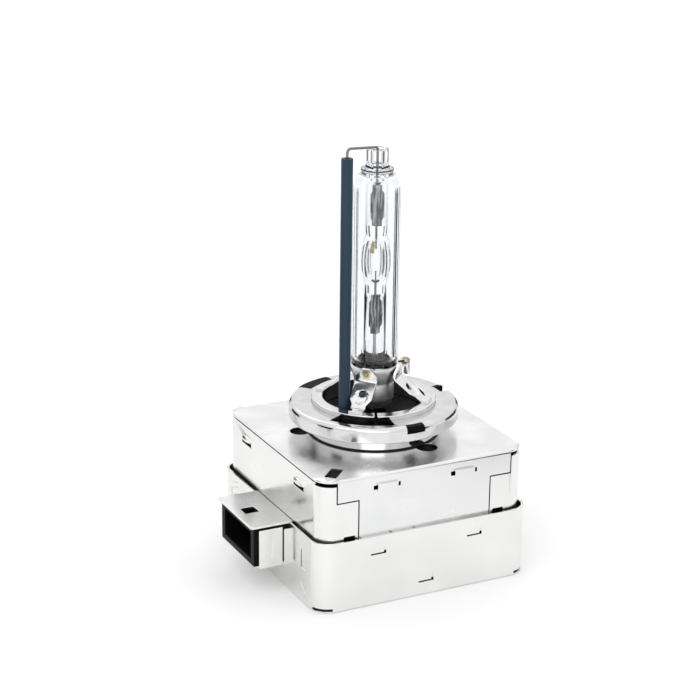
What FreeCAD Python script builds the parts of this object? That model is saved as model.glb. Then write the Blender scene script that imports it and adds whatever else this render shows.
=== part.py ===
import FreeCAD, Part
import math
import os

import Sketcher

# Gas-discharge headlamp bulb with its igniter box, in millimetres.
# The origin is on the burner's axis, in the plane of the cap ring's upper face.
# +Z runs up along the burner, and the connector points towards -X.

SIZES = {
    "Levels above the seating plane": {
        "base_level": -31.7,
        "skirt_level": -20.0,
        "tray_rim_level": -17.8,
        "flap_step_level": -10.3,
        "cover_level": -5.9,
        "light_centre_level": 28.2,
        "stem_foot_level": -4.0,
        "stem_top_level": 49.5,
    },
    "Igniter box sheet metal": {
        "sheet": 0.4,
        "clearance": 0.05,
        "cover_half": 21.6,
        "cover_corner": 3.4,
        "tray_half": 22.5,
        "tray_corner": 3.6,
        "flap_wide_half": 18.2,
        "flap_narrow_half": 13.75,
        "fold_radius": 0.6,
        "seam_gap": 0.25,
        "corner_gap": 0.5,
        "corner_gap_reach": 3.1,
        "plate_bore": 10.2,
        "plate_hole_radius": 2.05,
        "plate_hole_circle": 14.27,
        "plate_hole_turn": 45.4,
        "plate_hole_spread": 117.0,
        "key_slot_width": 2.3,
        "key_slot_length": 4.5,
        "key_slot_offset": 24.75,
        "hem_reach": 14.2,
        "hem_gap_1": 13.6,
        "hem_gap_2": 7.2,
        "hem_gap_3": 2.3,
        "latch_width": 2.3,
        "latch_low": -18.3,
        "latch_high": -17.2,
        "latch_centre": 15.75,
    },
    "Pressed details in the box walls": {
        "bridge_width": 4.2,
        "bridge_height": 1.4,
        "bridge_proud": 0.45,
        "bridge_slit": 0.7,
        "bridge_centre": 8.1,
        "bridge_level": -8.45,
        "louvre_half_width": 2.1,
        "louvre_half_height": 0.75,
        "louvre_proud": 0.55,
        "louvre_centre": 12.0,
        "louvre_level": -9.0,
        "louvre_slit": 0.45,
        "dent_depth": 0.15,
        "lance": 0.2,
        "dent_width": 3.0,
        "dent_height": 1.3,
        "dent_centre": 10.2,
        "dent_level": -20.75,
        "low_dent_level": -28.3,
        "stop_width": 2.7,
        "stop_height": 3.7,
        "stop_centre": 16.35,
        "stop_level": -22.85,
    },
    "Connector": {
        "connector_right": -9.8,
        "connector_left": 6.4,
        "connector_top_level": -17.65,
        "connector_foot_level": -26.3,
        "gate_collar": 1.0,
        "shield_gap": 0.3,
        "plate_end": -30.2,
        "shroud_end": -28.6,
        "shroud_groove": -26.0,
        "groove_width": 0.5,
        "groove_depth": 0.15,
        "housing_end": -29.5,
        "housing_back": -17.0,
        "housing_gap": 0.5,
        "socket_wall": 1.5,
        "socket_floor": -20.5,
        "plate_window": 2.8,
        "plate_window_centre": -27.0,
        "pin_width": 0.9,
        "pin_thickness": 0.6,
        "pin_end": -24.2,
        "pin_pitch": 3.0,
    },
    "Cap ring and holder band": {
        "flange_radius": 16.4,
        "flange_bore": 12.1,
        "flange_sheet": 0.8,
        "rim_height": 3.0,
        "rim_fillet": 0.9,
        "neck_radius": 12.7,
        "neck_sheet": 0.6,
        "neck_level": -5.6,
        "notch_root": 15.1,
        "notch_depth": 1.4,
        "key_root": 13.4,
        "key_inset": 0.25,
        "key_sink": 0.08,
        "slot_outer": 14.5,
        "band_bore": 9.9,
        "band_radius": 12.05,
        "band_sheet": 0.5,
        "band_level": 0.9,
        "band_foot_level": -3.2,
        "insulator_floor_level": -2.2,
        "gasket_radius": 12.85,
    },
    "Burner holder": {
        "leg_sheet": 0.5,
        "leg_width": 4.3,
        "leg_foot_width": 2.8,
        "leg_tip_width": 1.4,
        "leg_hole_radius": 0.75,
        "leg_hole_reach": 7.0,
        "leg_tip_rise": 0.4,
        "leg_tip_reach": 4.9,
        "leg_knee_reach": 4.35,
        "leg_knee_level": 5.2,
        "leg_foot_bend": 9.7,
        "leg_foot_reach": 11.3,
        "leg_inner_bend": 0.6,
        "leg_outer_bend": 1.0,
        "leg_gable_drop": 1.7,
        "leg_taper_reach": 8.0,
        "collar_foot_level": -0.4,
        "collar_top_level": 7.5,
        "collar_radius": 3.85,
        "collar_flare": 4.75,
        "collar_sheet": 0.35,
        "ear_reach": 7.9,
        "ear_width": 1.4,
        "ear_height": 3.3,
    },
    "Burner": {
        "envelope_radius": 4.5,
        "envelope_bore": 3.675,
        "envelope_foot_level": 6.3,
        "envelope_top_level": 46.1,
        "bead_radius": 3.15,
        "stem_radius": 2.1,
        "stem_bore": 1.0,
        "lead_bore": 0.45,
        "lead_radius": 0.3,
        "chamber_radius": 2.8,
        "chamber_half": 7.0,
        "neck_half": 6.0,
        "cavity_radius": 1.35,
        "cavity_half": 4.2,
        "electrode_radius": 0.15,
        "arc_half": 2.1,
        "foil_thickness": 0.1,
        "foil_end_width": 1.4,
        "foil_width": 2.0,
        "foil_start": 6.8,
        "foil_length": 7.8,
    },
    "Return lead": {
        "sleeve_radius": 1.1,
        "sleeve_bore": 0.4,
        "sleeve_reach": 8.36,
        "sleeve_turn": 201.0,
        "sleeve_foot_level": -7.0,
        "sleeve_top_level": 48.9,
        "wire_radius": 0.25,
        "wire_inner_bend": 0.7,
        "wire_outer_bend": 1.3,
        "wire_inner_level": 49.7,
        "wire_outer_level": 50.7,
        "wire_foot_level": -8.2,
    },
    "Inside the box": {
        "carrier_half": 20.4,
        "carrier_wall": 1.0,
        "carrier_corner": 2.2,
        "carrier_foot_level": -28.6,
        "carrier_top_level": -7.0,
        "carrier_lid": 0.6,
        "board_half": 18.6,
        "board_thickness": 1.6,
        "board_level": -27.0,
        "potting_level": -28.7,
        "core_radius": 3.0,
        "core_half": 16.0,
        "core_x": 9.5,
        "core_level": -16.5,
        "bobbin_radius": 3.9,
        "bobbin_flange": 7.0,
        "bobbin_flange_half": 0.4,
        "bobbin_pitch": 5.8,
        "secondary_radius": 6.5,
        "primary_radius": 7.6,
        "primary_half": 1.2,
        "capacitor_left": -17.5,
        "capacitor_right": -3.5,
        "capacitor_front": 8.5,
        "capacitor_rear": 17.0,
        "capacitor_height": 11.0,
        "gap_radius": 3.6,
        "gap_left": -16.4,
        "gap_length": 9.8,
        "gap_centre": -14.0,
        "gap_cap_radius": 4.0,
        "gap_cap_length": 1.4,
        "resistor_radius": 1.1,
        "resistor_x": -9.0,
        "resistor_start": 0.4,
        "resistor_length": 7.0,
        "resistor_cap_radius": 1.4,
        "resistor_cap_length": 1.2,
        "contact_sheet": 0.4,
        "contact_reach": 2.7,
        "contact_half_width": 1.0,
    },
}

NODES = []


class Size:
    """A length that carries its number and the spreadsheet expression behind it."""

    def __init__(self, number, text):
        self.number = number
        self.text = text

    @staticmethod
    def of(other):
        return other if isinstance(other, Size) else Size(float(other), f"({float(other)})")

    def __add__(self, other):
        other = Size.of(other)
        return Size(self.number + other.number, f"({self.text} + {other.text})")

    def __sub__(self, other):
        other = Size.of(other)
        return Size(self.number - other.number, f"({self.text} - {other.text})")

    def __mul__(self, factor):
        return Size(self.number * factor, f"({self.text} * {factor})")

    def __neg__(self):
        return Size(-self.number, f"(-1 * {self.text})")

    def __radd__(self, other):
        return self + other

    def __rsub__(self, other):
        return -self + other

    __rmul__ = __mul__


def polar(radius, degrees):
    """The x and y of a point at this radius and angle from +X."""
    angle = math.radians(degrees.number)
    x = Size(radius.number * math.cos(angle), f"({radius.text} * cos({degrees.text}))")
    y = Size(radius.number * math.sin(angle), f"({radius.text} * sin({degrees.text}))")
    return x, y


def ordered(first, second):
    """Two lengths, the smaller one first."""
    return (first, second) if first.number <= second.number else (second, first)


class Sheet:
    """The driving dimensions, read as attributes such as sizes.sheet."""

    def __init__(self, document):
        self.cells = document.addObject("Spreadsheet::Sheet", "Sizes")
        self.values = {}
        row = 1
        for section, entries in SIZES.items():
            self.cells.set(f"A{row}", section)
            row += 1
            for alias, number in entries.items():
                self.cells.set(f"A{row}", alias)
                self.cells.set(f"B{row}", str(number))
                self.cells.setAlias(f"B{row}", alias)
                self.values[alias] = number
                row += 1

    def __getattr__(self, alias):
        return Size(self.values[alias], f"Sizes.{alias}")


doc = FreeCAD.newDocument("headlamp_bulb")
sizes = Sheet(doc)
doc.recompute()


# ---------------------------------------------------------------- drawing helpers


def bind(thing, name, length):
    """Ties one property, sketch constraint or placement value to the spreadsheet."""
    thing.setExpression(name, Size.of(length).text)


def place(thing, x=0, y=0, z=0):
    """Ties the object's position to the spreadsheet."""
    for axis, length in zip("xyz", (x, y, z)):
        bind(thing, f"Placement.Base.{axis}", length)
    return thing


def turn(thing, degrees, axis=(0, 0, 1)):
    """Turns the object about its own base point."""
    rotation = FreeCAD.Rotation(FreeCAD.Vector(*axis), degrees)
    thing.Placement = FreeCAD.Placement(thing.Placement.Base, rotation)
    return thing


def box(name, low, high):
    """A box between two corners."""
    thing = doc.addObject("Part::Box", name)
    for side, start, end in zip(("Length", "Width", "Height"), low, high):
        bind(thing, side, Size.of(end) - start)
    return place(thing, *low)


def cylinder(name, radius, low, high, x=0, y=0, sweep=360, start=0):
    """An upright cylinder between two levels, or a sector of one."""
    thing = doc.addObject("Part::Cylinder", name)
    bind(thing, "Radius", radius)
    bind(thing, "Height", Size.of(high) - low)
    thing.Angle = sweep
    place(thing, x, y, low)
    return turn(thing, start)


def rod(name, radius, base, length, axis):
    """A cylinder lying along X or Y from a base point."""
    thing = doc.addObject("Part::Cylinder", name)
    bind(thing, "Radius", radius)
    bind(thing, "Height", length)
    place(thing, *base)
    if axis == "X":
        return turn(thing, 90, (0, 1, 0))
    return turn(thing, -90, (1, 0, 0))


def ellipsoid(name, along, across, x=0, y=0, z=0):
    """An ellipsoid of revolution about Z."""
    thing = doc.addObject("Part::Ellipsoid", name)
    bind(thing, "Radius1", along)
    bind(thing, "Radius2", across)
    bind(thing, "Radius3", across)
    return place(thing, x, y, z)


def fuse(name, *pieces):
    """One solid from several pieces."""
    thing = doc.addObject("Part::MultiFuse", name)
    thing.Shapes = list(pieces)
    return thing


def cut(name, base, *tools):
    """The base without the tools."""
    thing = doc.addObject("Part::Cut", name)
    thing.Base = base
    thing.Tool = tools[0] if len(tools) == 1 else fuse(f"{name}_tools", *tools)
    return thing


def common(name, first, second):
    """What two pieces share."""
    thing = doc.addObject("Part::Common", name)
    thing.Base = first
    thing.Tool = second
    return thing


def group(name, *pieces):
    """Separate identical solids kept as one sub-part."""
    thing = doc.addObject("Part::Compound", name)
    thing.Links = list(pieces)
    return thing


def sector(name, inner, outer, low, high, start, end):
    """Part of a flat ring between two angles."""
    whole = cylinder(f"{name}_outer", outer, low, high, sweep=end - start, start=start)
    core = cylinder(f"{name}_inner", inner, Size.of(low) - 1, Size.of(high) + 1)
    return cut(name, whole, core)


def new_body(name):
    return doc.addObject("PartDesign::Body", name)


def new_sketch(body, name, role, level=0):
    """A sketch on one of the body's own origin planes, moved along its normal."""
    sketch = body.newObject("Sketcher::SketchObject", name)
    plane = next(item for item in body.Origin.OriginFeatures if item.Role == role)
    sketch.AttachmentSupport = [(plane, "")]
    sketch.MapMode = "FlatFace"
    bind(sketch, "AttachmentOffset.Base.z", level)
    return sketch


def fix_point(sketch, item, end, x, y):
    """Ties a sketch point's two coordinates to the spreadsheet."""
    for kind, length in (("DistanceX", x), ("DistanceY", y)):
        length = Size.of(length)
        index = sketch.addConstraint(Sketcher.Constraint(kind, -1, 1, item, end, length.number))
        bind(sketch, f"Constraints[{index}]", length)


def rounded_corner(before, corner, after, radius):
    """Where an arc of this radius leaves the two straight runs at a corner, and its middle point."""
    back = (before - corner).normalize()
    ahead = (after - corner).normalize()
    half = math.acos(max(-1.0, min(1.0, back.dot(ahead)))) / 2
    middle = (back + ahead).normalize()
    centre = corner + middle * (radius / math.sin(half))
    run = radius / math.tan(half)
    return corner + back * run, centre - middle * radius, corner + ahead * run


def outline(sketch, corners):
    """A closed outline through corners given as (x, y) or, for a rounded corner, (x, y, radius)."""
    points = [FreeCAD.Vector(Size.of(c[0]).number, Size.of(c[1]).number, 0) for c in corners]
    count = len(corners)
    enters, leaves, arcs = [], [], []
    for i, corner in enumerate(corners):
        here = points[i]
        if len(corner) == 2:
            enters.append(here)
            leaves.append(here)
            arcs.append(None)
            continue
        ahead = points[(i + 1) % count]
        start, middle, end = rounded_corner(points[i - 1], here, ahead, Size.of(corner[2]).number)
        enters.append(start)
        leaves.append(end)
        left_turn = (here - points[i - 1]).cross(ahead - here).z > 0
        arc = sketch.addGeometry(Part.Arc(start, middle, end), False)
        arcs.append((arc, 1, 2) if left_turn else (arc, 2, 1))
    lines = [
        sketch.addGeometry(Part.LineSegment(leaves[i], enters[(i + 1) % count]), False)
        for i in range(count)
    ]
    for i, corner in enumerate(corners):
        before, after = lines[i - 1], lines[i]
        if arcs[i] is None:
            sketch.addConstraint(Sketcher.Constraint("Coincident", before, 2, after, 1))
            fix_point(sketch, after, 1, corner[0], corner[1])
            continue
        arc, first, last = arcs[i]
        sketch.addConstraint(Sketcher.Constraint("Tangent", before, 2, arc, first))
        sketch.addConstraint(Sketcher.Constraint("Tangent", after, 1, arc, last))
        radius = Size.of(corner[2])
        index = sketch.addConstraint(Sketcher.Constraint("Radius", arc, radius.number))
        bind(sketch, f"Constraints[{index}]", radius)
        mark = sketch.addGeometry(Part.Point(points[i]), True)
        sketch.addConstraint(Sketcher.Constraint("PointOnObject", mark, 1, before))
        sketch.addConstraint(Sketcher.Constraint("PointOnObject", mark, 1, after))
        fix_point(sketch, mark, 1, corner[0], corner[1])


def circle(sketch, radius, x=0, y=0):
    """A circle whose centre and radius are tied to the spreadsheet."""
    centre = FreeCAD.Vector(Size.of(x).number, Size.of(y).number, 0)
    ring = Part.Circle(centre, FreeCAD.Vector(0, 0, 1), Size.of(radius).number)
    item = sketch.addGeometry(ring, False)
    index = sketch.addConstraint(Sketcher.Constraint("Radius", item, Size.of(radius).number))
    bind(sketch, f"Constraints[{index}]", radius)
    fix_point(sketch, item, 3, x, y)


def pad(body, name, sketch, length, both_ways=False):
    feature = body.newObject("PartDesign::Pad", name)
    feature.Profile = sketch
    bind(feature, "Length", length)
    if both_ways:
        feature.SideType = "Symmetric"
    return feature


def pocket_through(body, name, sketch):
    """Cuts the sketch through the whole body, both ways from its plane."""
    feature = body.newObject("PartDesign::Pocket", name)
    feature.Profile = sketch
    feature.SideType = "Symmetric"
    feature.Length = 200
    return feature


def turned(name, corners):
    """A body of revolution about Z from a closed outline of (radius, level) corners."""
    body = new_body(name)
    sketch = new_sketch(body, f"{name}_profile", "XZ_Plane")
    outline(sketch, corners)
    feature = body.newObject("PartDesign::Revolution", f"{name}_revolution")
    feature.Profile = sketch
    feature.ReferenceAxis = (sketch, ["V_Axis"])
    feature.Angle = 360
    return body


def slab(name, corners, low, high):
    """A prism between two levels over an outline in plan."""
    body = new_body(name)
    sketch = new_sketch(body, f"{name}_plan", "XY_Plane", low)
    outline(sketch, corners)
    pad(body, f"{name}_pad", sketch, Size.of(high) - low)
    return body


def rounded_square(half, corner):
    """The corners of a square plan with rounded corners."""
    return [(half, half, corner), (-half, half, corner), (-half, -half, corner), (half, -half, corner)]


def square_frame(name, half, corner, wall, low, high):
    """Four walls round a square plan, with no floor."""
    outer = slab(f"{name}_outside", rounded_square(half, corner), low, high)
    inner_plan = rounded_square(half - wall, corner - wall)
    inner = slab(f"{name}_inside", inner_plan, Size.of(low) - 1, Size.of(high) + 1)
    return cut(name, outer, inner)


def keep(thing, name):
    """Names a finished sub-part and puts it on the list to write."""
    thing.Label = name
    NODES.append(thing)
    return thing


# ---------------------------------------------------------------- igniter box


def wall_block(name, wall, face, inner, outer, start, end, low, high):
    """A box against one wall, from inner to outer along the wall's outward normal, measured at its face."""
    near, far = face + inner, face + outer
    if wall[0] == "-":
        near, far = -far, -near
    if wall[1] == "X":
        return box(name, (near, start, low), (far, end, high))
    return box(name, (start, near, low), (end, far, high))


def centred_block(name, wall, face, inner, outer, centre, width, level, height):
    """The same, given by its centre along the wall and its middle level."""
    half_width, half_height = width * 0.5, height * 0.5
    return wall_block(name, wall, face, inner, outer, centre - half_width, centre + half_width,
                      level - half_height, level + half_height)


def lower_tray():
    """Floor and four walls, with relief gaps in the bottom corners and a collared gate for the connector."""
    half, sheet, base, rim = sizes.tray_half, sizes.sheet, sizes.base_level, sizes.tray_rim_level
    walls = square_frame("tray_walls", half, sizes.tray_corner, sheet, base, rim)
    floor = slab("tray_floor", rounded_square(half, sizes.tray_corner), base, base + sheet)
    corner_gaps = []
    for x in (-1, 1):
        for y in (-1, 1):
            near_x, far_x = ordered(x * (half - sizes.corner_gap_reach), x * (half + 1))
            near_y, far_y = ordered(y * (half - sizes.corner_gap_reach), y * (half + 1))
            low, high = base + sheet, base + sheet + sizes.corner_gap
            corner_gaps.append(box("tray_corner_gap", (near_x, near_y, low), (far_x, far_y, high)))
    right, left, foot = sizes.connector_right, sizes.connector_left, sizes.connector_foot_level
    collar = wall_block("gate_collar", "-X", half, -sheet, sizes.gate_collar, right, left, foot, rim - 1.3)
    gate = wall_block("connector_gate", "-X", half, -2, 3, right + sheet, left - sheet, foot + sheet, rim + 1)
    top_gate = wall_block("shield_gate", "-X", half, -2, 3, right - 0.1, left + 0.1,
                          sizes.connector_top_level - sheet - sizes.clearance, rim + 1)
    blank = fuse("tray_blank", walls, floor, collar, *tray_hems())
    tools = [gate, top_gate, *corner_gaps, *tray_dents()]
    keep(cut("lower_tray", blank, *tools), "lower_tray")


def tray_dents():
    """The pressed dents in the tray's walls, each lanced through along its lower and one end edge."""
    half, depth, lance = sizes.tray_half, sizes.dent_depth, sizes.lance
    width, height = sizes.dent_width, sizes.dent_height
    places = ((-sizes.dent_centre, sizes.dent_level), (sizes.dent_centre, sizes.dent_level),
              (Size.of(0), sizes.low_dent_level))
    tools = []
    for wall in ("-Y", "+Y"):
        for centre, level in places:
            foot, end = level - height * 0.5, centre + width * 0.5
            tools.append(centred_block("dent", wall, half, -depth, 1, centre, width, level, height))
            tools.append(centred_block("lance", wall, half, -1, 1, centre, width, foot, lance))
            tools.append(centred_block("lance_end", wall, half, -1, 1, end, lance * 2,
                                       foot + lance, lance * 3))
    level, width, height = sizes.stop_level, sizes.stop_width, sizes.stop_height
    for side in (-1, 1):
        centre = side * sizes.stop_centre
        edge = centre - side * 0.5 * width
        tools.append(centred_block("stop_dent", "-X", half, -depth, 1, centre, width, level, height))
        tools.append(centred_block("stop_lance", "-X", half, -1, 1, edge, lance, level, height))
    return tools


def tray_hems():
    """The tray's turned-in upper edge on the two flap sides, in runs parted by small gaps."""
    half, rim, lance = sizes.tray_half, sizes.tray_rim_level, sizes.lance
    inner = sizes.cover_half - half + sizes.clearance
    marks = [-sizes.hem_reach, -sizes.hem_gap_1, -sizes.hem_gap_2, -sizes.hem_gap_3, sizes.hem_reach]
    return [
        wall_block("rim_hem", wall, half, inner, -sizes.sheet * 0.5,
                   start + lance, end - lance, rim - 1.5, rim)
        for wall in ("-Y", "+Y")
        for start, end in zip(marks, marks[1:])
    ]


def bridge(wall, centre):
    """A pressed strip standing proud of a flap, open at both ends, and the channel behind it."""
    half, proud, sheet = sizes.cover_half, sizes.bridge_proud, sizes.sheet
    strip = centred_block("bridge_strip", wall, half, -sheet, proud, centre,
                          sizes.bridge_width, sizes.bridge_level, sizes.bridge_height)
    channel = centred_block("bridge_channel", wall, half, -sheet - 1, proud - sheet * 0.6, centre,
                            sizes.bridge_width + sizes.bridge_slit * 2, sizes.bridge_level,
                            sizes.bridge_height * 0.6)
    return strip, channel


def upper_cover():
    """The top plate with two folded flaps, each T-shaped: wide at the fold and narrow below a step."""
    half, sheet, top = sizes.cover_half, sizes.sheet, sizes.cover_level
    inner, fold, skirt = half - sheet, sizes.fold_radius, sizes.skirt_level
    narrow, wide, step = sizes.flap_narrow_half, sizes.flap_wide_half, sizes.flap_step_level
    body = new_body("folded_plate")
    profile = new_sketch(body, "folded_plate_profile", "YZ_Plane")
    outline(profile, [
        (-half, skirt), (-inner, skirt), (-inner, top - sheet), (inner, top - sheet),
        (inner, skirt), (half, skirt), (half, top, fold), (-half, top, fold),
    ])
    pad(body, "folded_plate_pad", profile, wide * 2, both_ways=True)
    for side in (-1, 1):
        shoulder = new_sketch(body, "flap_shoulder", "XZ_Plane")
        outline(shoulder, [
            (side * narrow, skirt - 1), (side * (wide + 1), skirt - 1),
            (side * (wide + 1), step), (side * narrow, step),
        ])
        pocket_through(body, "flap_shoulder_cut", shoulder)
    plate = slab("top_plate", rounded_square(half, sizes.cover_corner), top - sheet, top)
    folds = [
        wall_block("fold_clearance", wall, half, -fold, 1, -wide, wide, top - 1, top + 1)
        for wall in ("-Y", "+Y")
    ]
    strips, channels = zip(*[
        bridge(wall, centre)
        for wall in ("-Y", "+Y")
        for centre in (-sizes.bridge_centre, sizes.bridge_centre)
    ])
    tools = [cylinder("plate_bore", sizes.plate_bore, top - 2, top + 1)]
    for i in range(3):
        x, y = polar(sizes.plate_hole_circle, sizes.plate_hole_turn + (i - 1) * sizes.plate_hole_spread)
        tools.append(cylinder("plate_hole", sizes.plate_hole_radius, top - 2, top + 1, x, y))
    blank = fuse("cover_blank", body, cut("flat_plate", plate, *folds), *strips)
    keep(cut("upper_cover", blank, key_slot(), *tools, *channels), "upper_cover")


def key_slot():
    """The rectangular slot across the top plate's front left corner, long side along the diagonal."""
    top, length, width = sizes.cover_level, sizes.key_slot_length, sizes.key_slot_width
    offset = sizes.key_slot_offset
    slot = slab("key_slot", [
        (offset - length * 0.5, -width * 0.5), (offset + length * 0.5, -width * 0.5),
        (offset + length * 0.5, width * 0.5), (offset - length * 0.5, width * 0.5),
    ], top - 2, top + 1)
    return turn(slot, 226)


def louvre(centre):
    """A half-moon pushed out of the -X wall, and the slit under it."""
    face, level = sizes.cover_half, sizes.louvre_level
    blister = ellipsoid("louvre_blister", sizes.louvre_half_height, sizes.louvre_half_width,
                        -face, centre, level)
    bind(blister, "Radius2", sizes.louvre_proud)
    slit = centred_block("louvre_slit", "-X", face, -1, 1, centre, sizes.louvre_half_width * 2 + 0.2,
                         level - sizes.louvre_half_height, sizes.louvre_slit * 2)
    return blister, slit


def side_walls():
    """The left and right walls: each wraps round two corners up to the flaps, just under the top plate."""
    half, sheet, gap = sizes.cover_half, sizes.sheet, sizes.seam_gap
    top, skirt = sizes.cover_level - sheet - sizes.seam_gap, sizes.skirt_level
    wide, narrow = sizes.flap_wide_half + gap, sizes.flap_narrow_half + gap
    for name, wall, low_x, high_x in (
        ("side_wall_left", "-X", -half - 2, Size.of(0)),
        ("side_wall_right", "+X", Size.of(0), half + 2),
    ):
        ring = square_frame(f"{name}_ring", half, sizes.cover_corner, sheet, skirt, top)
        room = box(f"{name}_room", (low_x, -half - 2, skirt - 1), (high_x, half + 2, top + 1))
        flap_room = box("flap_room", (-narrow, -half - 2, skirt - 2), (narrow, half + 2, top + 2))
        head_room = box("flap_head_room", (-wide, -half - 2, sizes.flap_step_level - gap),
                        (wide, half + 2, top + 2))
        tools = [flap_room, head_room]
        latch_half = sizes.latch_width * 0.5
        for side in (-1, 1):
            centre = side * sizes.latch_centre
            tools.append(box("latch_window", (centre - latch_half, -half - 1, sizes.latch_low),
                             (centre + latch_half, half + 1, sizes.latch_high)))
            near, far = ordered(side * (half - sizes.corner_gap_reach), side * (half + 1))
            tools.append(box("corner_gap", (-half - 1, near, top - sizes.corner_gap),
                             (half + 1, far, top + 2)))
        blank = common(f"{name}_blank", ring, room)
        if name == "side_wall_left":
            blisters, slits = zip(*[louvre(y * sizes.louvre_centre) for y in (-1, 1)])
            reach = sizes.louvre_centre + sizes.louvre_half_width + 0.2
            hollow = box("louvre_trim", (-half + sheet, -reach, skirt), (-half + 2, reach, top))
            gate = box("wall_gate", (-half - 1, sizes.connector_right - 0.2, skirt - 1),
                       (-half + 1, sizes.connector_left + 0.2, sizes.connector_top_level - sheet))
            pressed = fuse("louvred_wall", blank, *blisters)
            blank = cut("side_wall_left_pressed", pressed, hollow, gate, *slits)
        keep(cut(name, blank, *tools), name)


# ---------------------------------------------------------------- connector


def connector():
    """The plate and shroud that screen the connector, its moulded housing and the four pins."""
    right, left = sizes.connector_right, sizes.connector_left
    top, foot, sheet = sizes.connector_top_level, sizes.connector_foot_level, sizes.sheet
    inside = -sizes.cover_half - 0.1
    plate = slab("connector_plate_blank", [
        (sizes.plate_end, right, 0.6), (inside, right), (inside, left), (sizes.plate_end, left, 0.6),
    ], top - sheet, top)
    half_window, window_x = sizes.plate_window * 0.5, sizes.plate_window_centre
    middle = (right + left) * 0.5
    window = box("plate_window", (window_x - half_window, middle - half_window, top - 1),
                 (window_x + half_window, middle + half_window, top + 1))
    keep(cut("connector_top_shield", plate, window), "connector_top_shield")

    shoulder = top - sheet - sizes.housing_gap
    back = -sizes.tray_half - sizes.gate_collar - sizes.shield_gap
    outer = box("shield_outer", (sizes.shroud_end, right, foot), (back, left, shoulder))
    inner = box("shield_inner", (sizes.shroud_end - 1, right + sheet, foot + sheet),
                (back + 1, left - sheet, shoulder + 1))
    groove_x, groove_half = sizes.shroud_groove, sizes.groove_width * 0.5
    grooves = [
        box("shroud_groove", (groove_x - groove_half, low, foot + 2.3),
            (groove_x + groove_half, high, shoulder - 1.3))
        for low, high in ((right - 1, right + sizes.groove_depth), (left - sizes.groove_depth, left + 1))
    ]
    keep(cut("connector_side_shield", outer, inner, *grooves), "connector_side_shield")

    wall, fit = sizes.socket_wall, sheet + sizes.clearance
    low_y, high_y = right + fit, left - fit
    low_z, high_z = foot + fit, top - fit
    block = box("housing_block", (sizes.housing_end, low_y, low_z), (sizes.housing_back, high_y, high_z))
    socket = box("socket", (sizes.housing_end - 1, low_y + wall, low_z + wall * 0.8),
                 (sizes.socket_floor, high_y - wall, high_z - wall * 0.8))
    pins = []
    for i in range(4):
        centre = middle + sizes.pin_pitch * (i - 1.5)
        half_width, half_thick = sizes.pin_width * 0.5, sizes.pin_thickness * 0.5
        level = (low_z + high_z) * 0.5
        pins.append(box(f"pin_{i}", (sizes.pin_end, centre - half_width, level - half_thick),
                        (sizes.housing_back + 1, centre + half_width, level + half_thick)))
    slots = group("pin_slots", *pins)
    latch_hole = box("latch_hole", (window_x - half_window, middle - half_window, high_z - wall),
                     (window_x + half_window, middle + half_window, high_z + 1))
    keep(cut("connector_housing", block, socket, slots, latch_hole), "connector_housing")
    keep(group("connector_pins", *pins), "connector_pins")


# ---------------------------------------------------------------- cap


def key_notches():
    """The ring's three key notches: name, root radius, first angle, last angle and first angle of its key."""
    return [
        ("front", sizes.notch_root, -94.5, -81, -94.5),
        ("right", sizes.notch_root - 1.1, -6, 8, 4.5),
        ("rear", sizes.key_root, 99, 129, 99),
    ]


def cap_ring():
    """A stamped ring: flat flange, upright rim turned in underneath, then a neck, with key notches."""
    rim, bore, sheet = sizes.flange_radius, sizes.flange_bore, sizes.flange_sheet
    low, neck, foot = -sizes.rim_height, sizes.neck_radius, sizes.neck_level
    shelf = low + sizes.neck_sheet
    ring = turned("ring_blank", [
        (bore, 0), (rim, 0, sizes.rim_fillet), (rim, low, 0.3), (neck, low - 0.3, 0.4), (neck, foot),
        (neck - sizes.neck_sheet, foot), (neck - sizes.neck_sheet, shelf, 0.4),
        (rim - sheet, shelf), (rim - sheet, -sheet, 0.3), (bore, -sheet),
    ])
    above = 1
    notches = [
        sector(f"{name}_notch", root, rim + 1, -sizes.notch_depth, above, start, end)
        for name, root, start, end, key_start in key_notches()
    ]
    slot = sector("front_slot", bore - 1, sizes.slot_outer, -sheet - 0.5, above, -152, -101)
    keep(cut("cap_ring", ring, *notches, slot), "cap_ring")


def holder_band():
    """The split band that the four legs stand on: an upright wall and a thick rim that fills the ring."""
    bore, sheet, top, foot = sizes.band_bore, sizes.band_sheet, sizes.band_level, sizes.band_foot_level
    band = turned("band_blank", [
        (bore, top, 0.2), (sizes.band_radius, top, 0.15), (sizes.band_radius, -0.7),
        (bore + sheet, -0.7), (bore + sheet, foot), (bore, foot),
    ])
    split = sector("band_split", bore - 1, sizes.band_radius + 1, foot - 1, top + 1, -116.5, -113.5)
    keep(cut("holder_band", band, split), "holder_band")


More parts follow.
